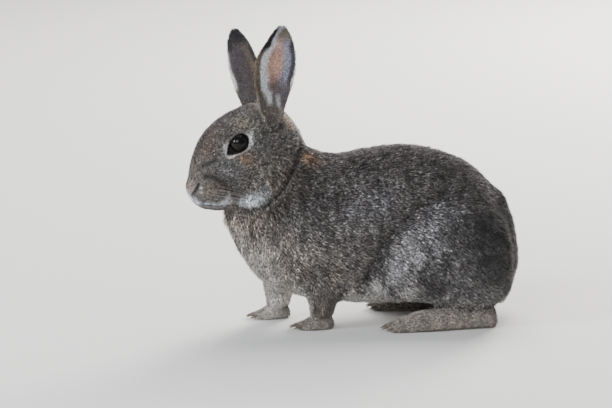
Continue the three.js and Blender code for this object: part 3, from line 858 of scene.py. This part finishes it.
# %% The colour of any place on the coat
EAR_MARKS = {
    "back": (80, 72, 75), "stripe": (112, 100, 88), "tip": (22, 19, 24), "hollow": (180, 146, 134),
    "deep": (92, 84, 84), "margin": (104, 94, 82), "fringe": (206, 209, 216), "rear": (132, 134, 150),
    "rim": (60, 58, 64), "edge": (226, 222, 226), "base": (120, 113, 106), "olive": (102, 94, 84),
}


def colour_ears(colour, points, normals, weights):
    for side in EYE_CENTRES:
        share, from_front, from_rear, hollow = ear_places(points, normals, side)
        own = ramp(own_ear(points, weights, side), 0.3, 0.7)
        back, inside = own * (1 - hollow), own * hollow
        rounds = [
            ("back", back),
            ("stripe", back * bell(from_rear - 12, 3.5) * ramp(share, 0.9, 0.7)),
            ("hollow", inside),
            ("rear", inside * ramp(from_rear, 14.5, 8)),
            ("rim", inside * ramp(from_rear, 6.5, 4)),
            ("deep", inside * ramp(share, 0.5, 0.34) * 0.85),
            ("fringe", inside * ramp(from_front, 15, 10)),
            ("rear", inside * ramp(share, 0.84, 0.93) * 0.7),
            ("olive", inside * ramp(share, 0.78, 0.9) * ramp(from_front, 8, 12)),
            ("fringe", inside * ramp(share, 0.34, 0.26) * bell(from_front - 12.5, 1.6) * 0.8),
            ("fringe", inside * ramp(share, 0.3, 0.24) * bell(from_front - 19, 1.5) * 0.7),
            ("margin", own * ramp(from_front, 6.8, 5.4) * mix(hollow, 1, ramp(from_front, 3, 2))),
            ("base", own * ramp(share, 0.2, 0.14)),
            ("base", own * ramp(share, 0.34, 0.2) * ramp(from_front, 11, 8)),
        ]
        if side == "left":
            rounds.append(("tip", own * ramp(from_front, 8.5, 6.8) * ramp(share, 0.70, 0.78)))
        else:
            edge = mix(1.4, 3.0, ramp(share, 0.25, 0.55))
            rounds += [
                ("rim", back * ramp(share, 0.42, 0.22) * 0.6),
                ("tip", back * ramp(from_front, 6, 4) * ramp(share, 0.72, 0.8)),
                ("edge", back * ramp(from_front, edge, edge * 0.55)
                 * ramp(share, 0.78, 0.7) * ramp(share, 0.3, 0.4)),
            ]
        rounds += [
            ("tip", back * ramp(from_rear, 9.5, 7) * ramp(share, 0.42, 0.55)),
            ("tip", back * ramp(share, 0.76, 0.87)),
            ("edge", inside * ramp(from_rear, 2.4, 1.4) * ramp(share, 0.3, 0.4)),
            ("edge", inside * ramp(share, 0.96, 0.99)),
        ]
        for name, strength in rounds:
            colour = laid(colour, EAR_MARKS[name], strength)
    return colour


def coat_colour(points, normals, weights):
    colour = weights @ light([SHADES[region] for region in REGIONS])
    colour = colour_body(colour, points, normals, weights)
    colour = colour_head(colour, points, ramp(share_of(weights, "ear"), 0.6, 0.2))
    return colour_ears(colour, points, normals, weights)


normals = normals_now()
colours = coat_colour(points, normals, weights)
print("mean colour, as light:", colours.mean(axis=0).round(3))

# %% [markdown]
# ## A material for fur
# Fur takes its colour from the markings and breaks it up with fine noise, so that no patch is flat. Hair
# is matt with a faint silk, which the Principled shader has as sheen.

# %% Fur material
COLOUR_NAME = "coat_colour"


def new_material(name, **settings):
    """A material with these settings, its nodes, its wires and its surface."""
    material = bpy.data.materials.new(name)
    material.use_nodes = True
    nodes = material.node_tree.nodes
    surface = nodes["Principled BSDF"]
    for setting, value in settings.items():
        surface.inputs[setting.replace("_", " ")].default_value = value
    return material, nodes, material.node_tree.links, surface


def fur_material(name, grain, contrast, bump):
    material, nodes, wires, surface = new_material(
        name, Roughness=0.72, Specular_IOR_Level=0.25, Sheen_Weight=0.12, Sheen_Roughness=0.45
    )
    markings = nodes.new("ShaderNodeAttribute")
    markings.attribute_name = COLOUR_NAME
    where = nodes.new("ShaderNodeTexCoord")
    mottle = nodes.new("ShaderNodeTexNoise")
    mottle.inputs["Scale"].default_value = grain
    mottle.inputs["Detail"].default_value = 3
    spread = nodes.new("ShaderNodeMapRange")
    spread.inputs["From Min"].default_value, spread.inputs["From Max"].default_value = 0.34, 0.66
    spread.inputs["To Min"].default_value, spread.inputs["To Max"].default_value = 1 - contrast, 1 + contrast
    tint = nodes.new("ShaderNodeVectorMath")
    tint.operation = "MULTIPLY"
    wires.new(where.outputs["Object"], mottle.inputs["Vector"])
    wires.new(mottle.outputs["Fac"], spread.inputs["Value"])
    wires.new(markings.outputs["Color"], tint.inputs[0])
    wires.new(spread.outputs["Result"], tint.inputs[1])
    wires.new(tint.outputs["Vector"], surface.inputs["Base Color"])
    if bump:
        relief = nodes.new("ShaderNodeBump")
        relief.inputs["Strength"].default_value = bump
        relief.inputs["Distance"].default_value = 0.6 * MM
        wires.new(mottle.outputs["Fac"], relief.inputs["Height"])
        wires.new(relief.outputs["Normal"], surface.inputs["Normal"])
    return material


SKIN_FUR = fur_material("under_fur", 800, 0.5, 0.7)
TUFT_FUR = fur_material("guard_hair", 560, 0.75, 0)
CALM_FUR = fur_material("short_hair", 620, 0.4, 0)
FACE_FUR = fur_material("face_hair", 620, 0.75, 0)
print("furs:", SKIN_FUR.name, TUFT_FUR.name, CALM_FUR.name, FACE_FUR.name)


# %% Finish the skin
def finish_piece(name, mesh, material, slot, *nodes):
    """A smooth-shaded piece of this mesh, which rides on the rabbit and replaces these solids."""
    piece = put_in_scene(name, mesh)
    mesh.materials.append(material)
    mesh.polygons.foreach_set("use_smooth", np.ones(len(mesh.polygons), dtype=bool))
    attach(piece, "root")
    if nodes:
        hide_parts(*nodes)
    return piece


def give_colours(mesh, colours):
    layer = mesh.color_attributes.new(COLOUR_NAME, "FLOAT_COLOR", "POINT")
    layer.data.foreach_set("color", np.column_stack([colours, np.ones(len(colours))]).ravel())


give_colours(skin_mesh, colours)
finish_piece("skin", skin_mesh, SKIN_FUR, "coat_back", *CORE, *EARS, *FEET)
print("skin triangles:", sum(len(face.vertices) - 2 for face in skin_mesh.polygons))

# %% [markdown]
# ## The lie of the hair
# Hair runs away from the nose: back over the skull, down the throat, back and down along the body, and
# down each leg. Each part of the body gets one direction, the directions are blended as the parts are,
# pressed flat onto the skin, and blurred once more so that the partings are soft.

# %% Directions of the hair
FLOW = {
    "trunk": (1, 0, -0.38), "neck": (0.55, 0, -0.8), "thigh": (0.8, 0, -0.6), "foreleg": (0.1, 0, -1),
    "tail": (0.3, 0, -1), "forepaw": (-1, 0, -0.2), "hind_foot": (-1, 0, -0.15), "head": tuple(-FORWARD),
    "ear": (0, 0, 1),
}
CHEST_FLOW = (0.25, 0, -1)
CHEEK_DROOP = 0.5
FLOW_BLUR = 16


def flat_on(normals, directions):
    directions = directions - normals * (directions * normals).sum(axis=1)[:, None]
    return directions / np.maximum(np.linalg.norm(directions, axis=1), 1e-9)[:, None]


flow = by_region(FLOW, weights)
chest = share_of(weights, "trunk") * ramp(points[:, 0] / MM, -35, -80)
flow = mix(flow, np.array(CHEST_FLOW), chest[:, None])
cheek = share_of(weights, "head") * ramp(head_places(points)[1], 10, -20)
flow += cheek[:, None] * np.array(-UPWARD) * CHEEK_DROOP
for side in EYE_CENTRES:
    flow = mix(flow, EAR_FRAMES[side][1], own_ear(points, weights, side)[:, None])
flow = flat_on(normals, flow)
flow = flat_on(normals, blur(flow, FLOW_BLUR))
print("hair lies along", flow.mean(axis=0).round(2), "on the whole")

# %% [markdown]
# ## The coat as tufts
# A coat is too fine to model hair by hair, so it is laid in tufts: thin spindles, each a few hairs' worth,
# that overlap like thatch. One spindle is the smallest round solid there is, a sphere of three segments
# and two rings, and every tuft is a copy of it, bent along the lie of the hair. Roots are strewn evenly
# over the skin, thicker on the face, and each tuft takes its own length, tilt, shade and tip.

# %% One spindle, and what each part of the coat is like
spindle = bmesh.new()
bmesh.ops.create_uvsphere(spindle, u_segments=3, v_segments=2, radius=1)
SPINDLE = places_of(spindle)
SPINDLE_FACES = np.array([[v.index for v in face.verts] for face in spindle.faces])
spindle.free()
SPINDLE_UP = (SPINDLE[:, 2] + 1) / 2  # 0 at the root, 1 at the tip

HAIR = {  # length in mm, tufts on each mm2, width in mm, degrees off the skin, evenness of shade (0 to 1)
    "trunk": (8.2, 1.55, 0.9, 30, 0), "neck": (8.0, 1.65, 0.88, 31, 0), "head": (5.2, 2.9, 0.66, 24, 0.1),
    "thigh": (8.0, 1.55, 0.9, 29, 0), "foreleg": (5.4, 1.8, 0.8, 24, 0.3), "tail": (7, 1.2, 1.3, 26, 0.2),
    "ear": (2.6, 2.2, 0.45, 14, 0.6), "forepaw": (3.2, 2.2, 0.6, 20, 0.5),
    "hind_foot": (4.0, 1.8, 0.7, 20, 0.5),
}
HAIR_SHARE = 0.55  # how far up a tuft its widest place is
THICKNESS = 0.4  # of its width
print("one tuft:", len(SPINDLE), "points,", len(SPINDLE_FACES), "faces")

# %% Strew the roots
BARE_LINES = {"nostril": 1.5, "cleft": 0.6, "mouth": 0.8, "crease": 1.5}  # mm without hair

chance = np.random.default_rng(20)
skin_mesh.calc_loop_triangles()
triangles = read(skin_mesh.loop_triangles, "vertices", 3, np.int32)
spread = points[triangles]
areas = np.linalg.norm(np.cross(spread[:, 1] - spread[:, 0], spread[:, 2] - spread[:, 0]), axis=1) / 2 / MM**2
bare = ramp(eye_reach(points), 1.2, 1.06)
for name, bare_width in BARE_LINES.items():
    bare = np.maximum(bare, bell(line_reach(points, name), bare_width))
bare = np.maximum(bare, between_toes(points, weights))
count = by_region(HAIR, weights)[:, 1] * (1 - ramp(bare, 0.3, 0.7))
wanted = areas * count[triangles].mean(axis=1) * 1
home = np.repeat(np.arange(len(triangles)), np.floor(wanted + chance.random(len(wanted))).astype(int))
root_share = np.sort(chance.random((len(home), 2)), axis=1)
root_share = np.column_stack([root_share[:, 0], root_share[:, 1] - root_share[:, 0], 1 - root_share[:, 1]])


def at_roots(values):
    return np.einsum("nk,nkd->nd", root_share, values[triangles[home]])


roots, root_normals, root_flow = at_roots(points), at_roots(normals), at_roots(flow)
root_weights = at_roots(weights)
root_normals /= np.linalg.norm(root_normals, axis=1)[:, None]
root_colours = coat_colour(roots, root_normals, root_weights)
print(len(home), "tufts,", len(home) * len(SPINDLE_FACES), "triangles")

# %% [markdown]
# ### Where each tuft is coloured from
# The finished model carries one small picture of the coat's colours for each piece, so each tuft needs a
# place of its own on it. The skin's own shape is unwrapped in a light copy, and a tuft gets a tiny patch
# at the place where its root is.

# %% An unwrap of the skin, and each root's place on it
UNWRAP_FACES = 9000
light_mesh = skin_mesh.copy()
light_skin = put_in_scene("light_skin", light_mesh)
thin_out = light_skin.modifiers.new("Decimate", "DECIMATE")
thin_out.ratio = UNWRAP_FACES / (2 * len(skin_mesh.polygons))
thin_out.use_collapse_triangulate = True
light_mesh = bpy.data.meshes.new_from_object(light_skin.evaluated_get(bpy.context.evaluated_depsgraph_get()))
light_skin.modifiers.clear()
light_skin.data = light_mesh
light_mesh.uv_layers.new(name="OFBake")
bpy.context.view_layer.objects.active = light_skin
light_skin.select_set(True)
bpy.ops.object.mode_set(mode="EDIT")
bpy.ops.mesh.select_all(action="SELECT")
bpy.ops.uv.smart_project(angle_limit=math.radians(66), island_margin=0.003)
bpy.ops.object.mode_set(mode="OBJECT")
light_places = read(light_mesh.vertices, "co", 3)
light_faces = np.array([list(face.vertices) for face in light_mesh.polygons])
light_uv = read(light_mesh.uv_layers["OFBake"].uv, "vector", 2).reshape(-1, 3, 2)
print(len(light_faces), "faces unwrapped, map from", light_uv.min().round(3), "to", light_uv.max().round(3))

# %% Roots onto the map
light_tree = BVHTree.FromPolygons([Vector(p) for p in light_places], light_faces.tolist())
hits = [light_tree.find_nearest(Vector(root)) for root in roots]
spot_face = np.array([hit[2] for hit in hits])
spot_place = np.array([hit[0] for hit in hits])
a, b, c = (light_places[light_faces[spot_face, i]] for i in range(3))
across = np.cross(b - a, c - a)
full = np.maximum((across * across).sum(axis=1), 1e-20)
share_a = (np.cross(b - spot_place, c - spot_place) * across).sum(axis=1) / full
share_b = (np.cross(c - spot_place, a - spot_place) * across).sum(axis=1) / full
shares = np.clip(np.column_stack([share_a, share_b, 1 - share_a - share_b]), 0, 1)
root_uv = np.einsum("nk,nkd->nd", shares / shares.sum(axis=1)[:, None], light_uv[spot_face])
bpy.data.objects.remove(light_skin)
print("roots on the map:", root_uv.min(axis=0).round(3), root_uv.max(axis=0).round(3))

# %% Length, tilt and bend of every tuft
SHORT_BESIDE = 2.8  # mm from a fine line, where the hair is short
LOCK_SIZE = 5 * MM  # tufts this near lean the same way
LOCK_SEED = 20  # noise_vector starts from the clock unless it is given a seed
BURIED = 0.5 * MM

back, _, left = head_places(roots)
face = share_of(root_weights, "head")
length, _, width, lift, calm = by_region(HAIR, root_weights).T
length = length * mix(1, mix(0.32, 1.15, ramp(back, 2, 78)), face)
length *= mix(1, mix(0.38, 1, ramp(eye_reach(roots), 1.05, 2.0)), face)
for name in ("crease", "nostril", "mouth", "under_eye"):
    length *= 1 - 0.65 * face * bell(line_reach(roots, name), SHORT_BESIDE)
length *= chance.uniform(0.75, 1.2, len(home))
width = width * mix(1, mix(0.62, 1.15, ramp(back, 2, 78)), face) * chance.uniform(0.7, 1.25, len(home))
noise.seed_set(LOCK_SEED)
locks = np.array([noise.noise_vector(Vector(root) / LOCK_SIZE) for root in roots])
lift = np.radians(lift * (chance.uniform(0.7, 1.3, len(home)) + 0.35 * locks[:, 0]))
turn = np.radians(chance.normal(0, 9, len(home)) + 34 * locks[:, 1])
side = np.cross(root_normals, root_flow)
along = root_flow * np.cos(turn)[:, None] + side * np.sin(turn)[:, None]
side = np.cross(root_normals, along)


def rising(angle):
    return along * np.cos(angle)[:, None] + root_normals * np.sin(angle)[:, None]


middle = roots + rising(lift) * (length * HAIR_SHARE * MM)[:, None]
tips = middle + rising(lift * 0.45) * (length * (1 - HAIR_SHARE) * MM)[:, None]
sunk = roots - root_normals * BURIED
print("tufts from", length.min().round(1), "to", length.max().round(1), "mm long")

# %% Shade of every tuft
TIPS = [((2.5, 2.36, 2.2), 0.32), ((0.24, 0.23, 0.24), 0.38), ((1.1, 1.08, 1.06), 0.30)]  # tan, black, plain
CLUMP_SIZE, FACE_CLUMP_SIZE, RIPPLE_SIZE = 1.7, 1.2, (5, 15, 15)  # mm
pale, calm = ramp(root_colours.mean(axis=1), 0.2, 0.45)[:, None], calm[:, None]
clump_sizes = mix(CLUMP_SIZE, FACE_CLUMP_SIZE, face) * MM
clumps = np.array([noise.noise(Vector(root) / size) for root, size in zip(roots, clump_sizes)])
ripples = np.array([noise.noise(Vector(place)) for place in roots / MM / RIPPLE_SIZE]) * (1 - face)
kind = chance.choice(len(TIPS), size=len(home), p=[share for _, share in TIPS])
tip_shade = mix(np.array([shade for shade, _ in TIPS])[kind], 1.0, np.maximum(pale * 0.8, calm))
tip_shade = tip_shade * (1 + 0.6 * ripples)[:, None]
tuft_shade = np.clip(chance.lognormal(-0.16, 0.58, len(home)) * (1 + 1.9 * clumps), 0.12, 3.2)
tuft_shade = mix((tuft_shade * (1 + 0.8 * ripples))[:, None], 1.0, np.maximum(pale * 0.6, calm))
print("tufts by tip, tan, black and plain:", np.bincount(kind))

# %% [markdown]
# ### Laying the tufts
# The copies are laid with arrays, because there are hundreds of thousands. Each coat piece takes the
# tufts of one stretch of the body, so none grows past what one file of the model may hold.

# %% Build one piece of coat
PATCH = 0.003  # side of a tuft's place on the map
ROOT_SHADE = 0.42  # hair is darker at the root
FLOOR_GAP = 0.2 * MM


def along_tuft(chosen, at_root, at_middle, at_tip):
    """For every point of the chosen tufts, the value for the root, the middle or the tip."""
    upper = np.where((SPINDLE_UP > 0.75)[None, :, None], at_tip[chosen][:, None], at_middle[chosen][:, None])
    return np.where((SPINDLE_UP < 0.25)[None, :, None], at_root, upper)


def lay_coat(name, chosen, slot, fur):
    half_width = (width[chosen] * 0.5 * MM)[:, None]
    wide = (side[chosen] * half_width)[:, None] * SPINDLE[None, :, :1]
    half_thickness = (width[chosen] * 0.5 * THICKNESS * MM)[:, None]
    thick = (root_normals[chosen] * half_thickness)[:, None] * SPINDLE[None, :, 1:2]
    places = (along_tuft(chosen, sunk[chosen][:, None], middle, tips) + wide + thick).reshape(-1, 3)
    places[:, 2] = np.maximum(places[:, 2], FLOOR_GAP)
    shade = along_tuft(chosen, ROOT_SHADE, tuft_shade, tip_shade)
    shades = np.clip((root_colours[chosen][:, None] * shade).reshape(-1, 3), 0, 0.95)
    faces = (np.arange(len(chosen))[:, None, None] * len(SPINDLE) + SPINDLE_FACES).reshape(-1, 3)
    mesh = bpy.data.meshes.new(name)
    mesh.vertices.add(len(places))
    mesh.vertices.foreach_set("co", places.ravel())
    mesh.loops.add(faces.size)
    mesh.loops.foreach_set("vertex_index", faces.ravel())
    mesh.polygons.add(len(faces))
    mesh.polygons.foreach_set("loop_start", np.arange(0, faces.size, 3))
    mesh.update(calc_edges=True)
    give_colours(mesh, shades)
    offsets = np.column_stack([SPINDLE_UP, 0.5 + SPINDLE[:, 0] * 0.5]) - 0.5
    uv = (root_uv[chosen][:, None] + PATCH * offsets).reshape(-1, 2)
    layer = mesh.uv_layers.new(name="OFBake")
    layer.uv.foreach_set("vector", np.clip(uv, 0, 1)[faces.ravel()].ravel())
    return finish_piece(name, mesh, fur, slot)


# %% Lay the coat, stretch by stretch
x = roots[:, 0] / MM
strongest = root_weights.argmax(axis=1)
kinds = {region: strongest == i for i, region in enumerate(REGIONS)}
body = kinds["trunk"] | kinds["neck"] | kinds["thigh"]
CHEST_END, FLANK_END, HAUNCH_END = -35, 25, 85  # mm along
STRETCHES = [
    ("head", "coat_back", FACE_FUR, kinds["head"]),
    ("ear", "coat_ears", CALM_FUR, kinds["ear"]),
    ("chest", "coat_back", TUFT_FUR, body & (x < CHEST_END)),
    ("flank", "coat_back", TUFT_FUR, body & (x >= CHEST_END) & (x < FLANK_END)),
    ("haunch", "coat_back", TUFT_FUR, body & (x >= FLANK_END) & (x < HAUNCH_END)),
    ("rump", "coat_back", TUFT_FUR, body & (x >= HAUNCH_END)),
    ("leg", "coat_legs", CALM_FUR, kinds["foreleg"] | kinds["forepaw"] | kinds["hind_foot"]),
    ("tail", "coat_tail", TUFT_FUR, kinds["tail"]),
]
for name, slot, fur, chosen in STRETCHES:
    middle_line = left if name == "head" else -roots[:, 1]
    for half, own in (("left", middle_line > 0), ("right", middle_line <= 0)):
        piece = lay_coat(f"coat_{name}_{half}", np.flatnonzero(chosen & own), slot, fur)
        print(piece.name, len(piece.data.polygons), "triangles")

# %% [markdown]
# ## The eyes
# A rabbit's eye is nearly all dark: a wide black pupil in a deep brown iris, under a wet, clear dome. The
# ball is a sphere whose pole looks outwards, so its rings are the rings of the eye, and the dome is the
# same ball swollen a little in front. Its wetness is a clear coat over the colour.

# %% Eyeballs
PUPIL, IRIS = math.radians(42), math.radians(66)
PUPIL_SHADE, IRIS_SHADE, WHITE_SHADE = (5, 4, 5), (22, 15, 13), (16, 12, 11)  # the white is as good as black
DOME = 0.5 * MM


def eye_material():
    material, nodes, wires, surface = new_material(
        "wet_eye", Roughness=0.3, Specular_IOR_Level=0.05,
        Coat_Weight=0.65, Coat_IOR=1.36, Coat_Roughness=0.02,
    )
    rings = nodes.new("ShaderNodeAttribute")
    rings.attribute_name = COLOUR_NAME
    wires.new(rings.outputs["Color"], surface.inputs["Base Color"])
    return material


WET_EYE = eye_material()
for side, centre in EYE_CENTRES.items():
    ball = bmesh.new()
    bmesh.ops.create_uvsphere(ball, u_segments=48, v_segments=32, radius=EYE_RADIUS)
    angles = np.array([v.co.angle(Vector((0, 0, 1))) for v in ball.verts])
    for v, angle in zip(ball.verts, angles):
        v.co += v.co.normalized() * DOME * float(ramp(angle, IRIS, PUPIL * 0.4))
    outward = Vector((0, 0, 1)).rotation_difference(gaze(side)).to_matrix()
    bmesh.ops.rotate(ball, verts=ball.verts, cent=(0, 0, 0), matrix=outward)
    bmesh.ops.translate(ball, verts=ball.verts, vec=centre)
    mesh = mesh_of(ball, f"eyeball_{side}")
    colour = mix(light(PUPIL_SHADE), light(IRIS_SHADE), ramp(angles, PUPIL * 0.92, PUPIL * 1.08)[:, None])
    colour = mix(colour, light(WHITE_SHADE), ramp(angles, IRIS * 0.85, IRIS)[:, None])
    give_colours(mesh, colour)
    finish_piece(f"eyeball_{side}", mesh, WET_EYE, "eye", f"eye_{side}")
print("eyeballs", round(EYE_RADIUS * 2 / MM, 1), "mm across")

# %% [markdown]
# ## Whiskers
# Stiff hairs stand in rows on the pad beside the nose, the rear ones longest. Each is a thin rod that
# narrows to its tip, swept along a curve that leans back and sags a little.

# %% One whisker
WHISKER_ROWS, WHISKERS_IN_ROW = 3, 3
WHISKER_SIDES, WHISKER_STEPS = 4, 7
WHISKER_RADIUS = 0.12  # mm at the root
WHISKER_PLACES = [
    (9 + 4.2 * i, 1.5 - 4.6 * row, 13 + i) for row in range(WHISKER_ROWS) for i in range(WHISKERS_IN_ROW)
]


def whisker(root, outward, reach):
    """Rings of points along one whisker."""
    course = np.linspace(0, 1, WHISKER_STEPS)[:, None]
    lean = outward * 0.9 - np.array(FORWARD) * 0.4 - np.array(UPWARD) * chance.uniform(0.05, 0.45)
    sag = -np.array(FORWARD) * 0.15 - np.array(UPWARD) * 0.2
    middles = root + (lean * (course - 0.03) + sag * course**2) * reach
    aside = np.cross(lean, UPWARD) / np.linalg.norm(np.cross(lean, UPWARD))
    turns = np.arange(WHISKER_SIDES) * 2 * math.pi / WHISKER_SIDES
    ring = np.cos(turns)[:, None] * aside + np.sin(turns)[:, None] * np.array(UPWARD)
    radius = WHISKER_RADIUS * MM * (1 - 0.85 * course)
    return (middles[:, None] + ring[None] * radius[:, None]).reshape(-1, 3)


def whisker_faces():
    rings = np.arange(WHISKER_SIDES * WHISKER_STEPS).reshape(WHISKER_STEPS, WHISKER_SIDES)
    low, high = rings[:-1], rings[1:]
    quads = np.stack([low, np.roll(low, -1, axis=1), np.roll(high, -1, axis=1), high], axis=-1).reshape(-1, 4)
    return quads.tolist() + [rings[0][::-1].tolist(), rings[-1].tolist()]


print("each whisker has", len(whisker_faces()), "faces")

# %% Whiskers on both sides
WHISKER_SHADE = light((150, 144, 138))
rod_faces = whisker_faces()
rod_size = WHISKER_SIDES * WHISKER_STEPS
for side in EYE_CENTRES:
    outward = np.array(LEFTWARD) * (1 if side == "left" else -1)
    roots_here = [np.array(on_face(tree, place)[0 if side == "left" else 1]) for place in WHISKER_PLACES]
    reaches = [(20 + 1.5 * place[0]) * chance.uniform(0.85, 1.1) * MM for place in WHISKER_PLACES]
    rods = [whisker(root, outward, reach) for root, reach in zip(roots_here, reaches)]
    faces = [[corner + k * rod_size for corner in face] for k in range(len(rods)) for face in rod_faces]
    mesh = bpy.data.meshes.new(f"whiskers_{side}")
    mesh.from_pydata(np.concatenate(rods).tolist(), [], faces)
    shape = bmesh.new()
    shape.from_mesh(mesh)
    bmesh.ops.recalc_face_normals(shape, faces=shape.faces)
    shape.to_mesh(mesh)
    shape.free()
    mesh.uv_layers.new(name="OFBake")
    corners = read(mesh.loops, "vertex_index", 1, np.int32).ravel()
    along_rod = (corners % rod_size) // WHISKER_SIDES / WHISKER_STEPS
    uv = np.column_stack([0.1 + 0.8 * along_rod, (corners // rod_size + 0.5) / len(rods)])
    mesh.uv_layers["OFBake"].uv.foreach_set("vector", uv.ravel())
    give_colours(mesh, np.tile(WHISKER_SHADE, (len(mesh.vertices), 1)))
    finish_piece(f"whiskers_{side}", mesh, CALM_FUR, "coat_back")
print(2 * len(WHISKER_PLACES), "whiskers")

# %% [markdown]
# ## The claws
# A claw is horn: smooth, dark at the root and paler to the point, and it only just shows from the fur.
# The solids have the right shape in a few facets, so each is copied and rounded by subdivision.

# %% Claws
HORN_DARK, HORN_PALE = (58, 48, 42), (120, 104, 90)


def claw_material():
    material, nodes, wires, surface = new_material("claw_horn", Roughness=0.38)
    kinds_of_node = ("TexCoord", "TexNoise", "ValToRGB")
    where, streaks, shades = (nodes.new("ShaderNode" + kind) for kind in kinds_of_node)
    streaks.inputs["Scale"].default_value = 700
    for element, shade in zip(shades.color_ramp.elements, (HORN_DARK, HORN_PALE)):
        element.color = (*light(shade), 1)
    wires.new(where.outputs["Object"], streaks.inputs["Vector"])
    wires.new(streaks.outputs["Fac"], shades.inputs["Fac"])
    wires.new(shades.outputs["Color"], surface.inputs["Base Color"])
    return material


CLAW_HORN = claw_material()
claw_nodes = [node for node in frame["nodes"] if "_claw_" in node]
for node in claw_nodes:
    claw = bmesh.new()
    claw.from_mesh(frame["nodes"][node].data)
    bmesh.ops.remove_doubles(claw, verts=claw.verts, dist=0.01 * MM)
    piece = finish_piece(node + "_horn", mesh_of(claw, node + "_horn"), CLAW_HORN, "claw", node)
    rounding = piece.modifiers.new("Subdivision", "SUBSURF")
    rounding.levels = rounding.render_levels = 1
print(len(claw_nodes), "claws")

# %% [markdown]
# ## Floor and light
# A museum model is looked at in even studio light: a pale floor, a wide soft light above and behind that
# rims the back, and a soft window of light in front, which is what shines in the eye.

# %% Stage
FLOOR_COLOUR, FLOOR_SIZE = (0.72, 0.71, 0.69, 1), 6
floor_shape = bmesh.new()
bmesh.ops.create_grid(floor_shape, x_segments=2, y_segments=2, size=FLOOR_SIZE)
floor = put_in_scene("floor", mesh_of(floor_shape, "floor"))
floor.data.materials.append(new_material("floor_paint", Base_Color=FLOOR_COLOUR, Roughness=0.8)[0])
print("floor laid")


# %% Lights
LIT_PLACE = Vector((0, 0, 0.12))


def soft_light(name, direction, distance, size, power, colour=(1, 1, 1)):
    lamp = put_in_scene(name, bpy.data.lights.new(name, "AREA"))
    direction = Vector(direction).normalized()
    lamp.location = LIT_PLACE + direction * distance
    lamp.rotation_euler = direction.to_track_quat("Z", "Y").to_euler()
    lamp.data.size, lamp.data.energy, lamp.data.color = size, power, colour


soft_light("sky_light", (0.1, 0.55, 1.0), 2.2, 1.5, 58)
soft_light("back_light", (0.62, 0.9, 0.42), 2.2, 0.8, 80, (1.0, 0.98, 0.95))
soft_light("window_light", (-0.872, -0.313, 0.378), 1.6, 0.45, 19, (0.86, 0.94, 1.0))
soft_light("side_light", (-0.55, -1.0, 0.6), 2.6, 1.2, 34)
world = bpy.data.worlds.new("studio")
bpy.context.scene.world = world
world.use_nodes = True
backdrop = world.node_tree.nodes["Background"]
backdrop.inputs["Color"].default_value = (0.86, 0.87, 0.89, 1)
backdrop.inputs["Strength"].default_value = 0.46

# %% The end
bpy.context.view_layer.update()
print("made in", round(time.time() - STARTED, 1), "s")
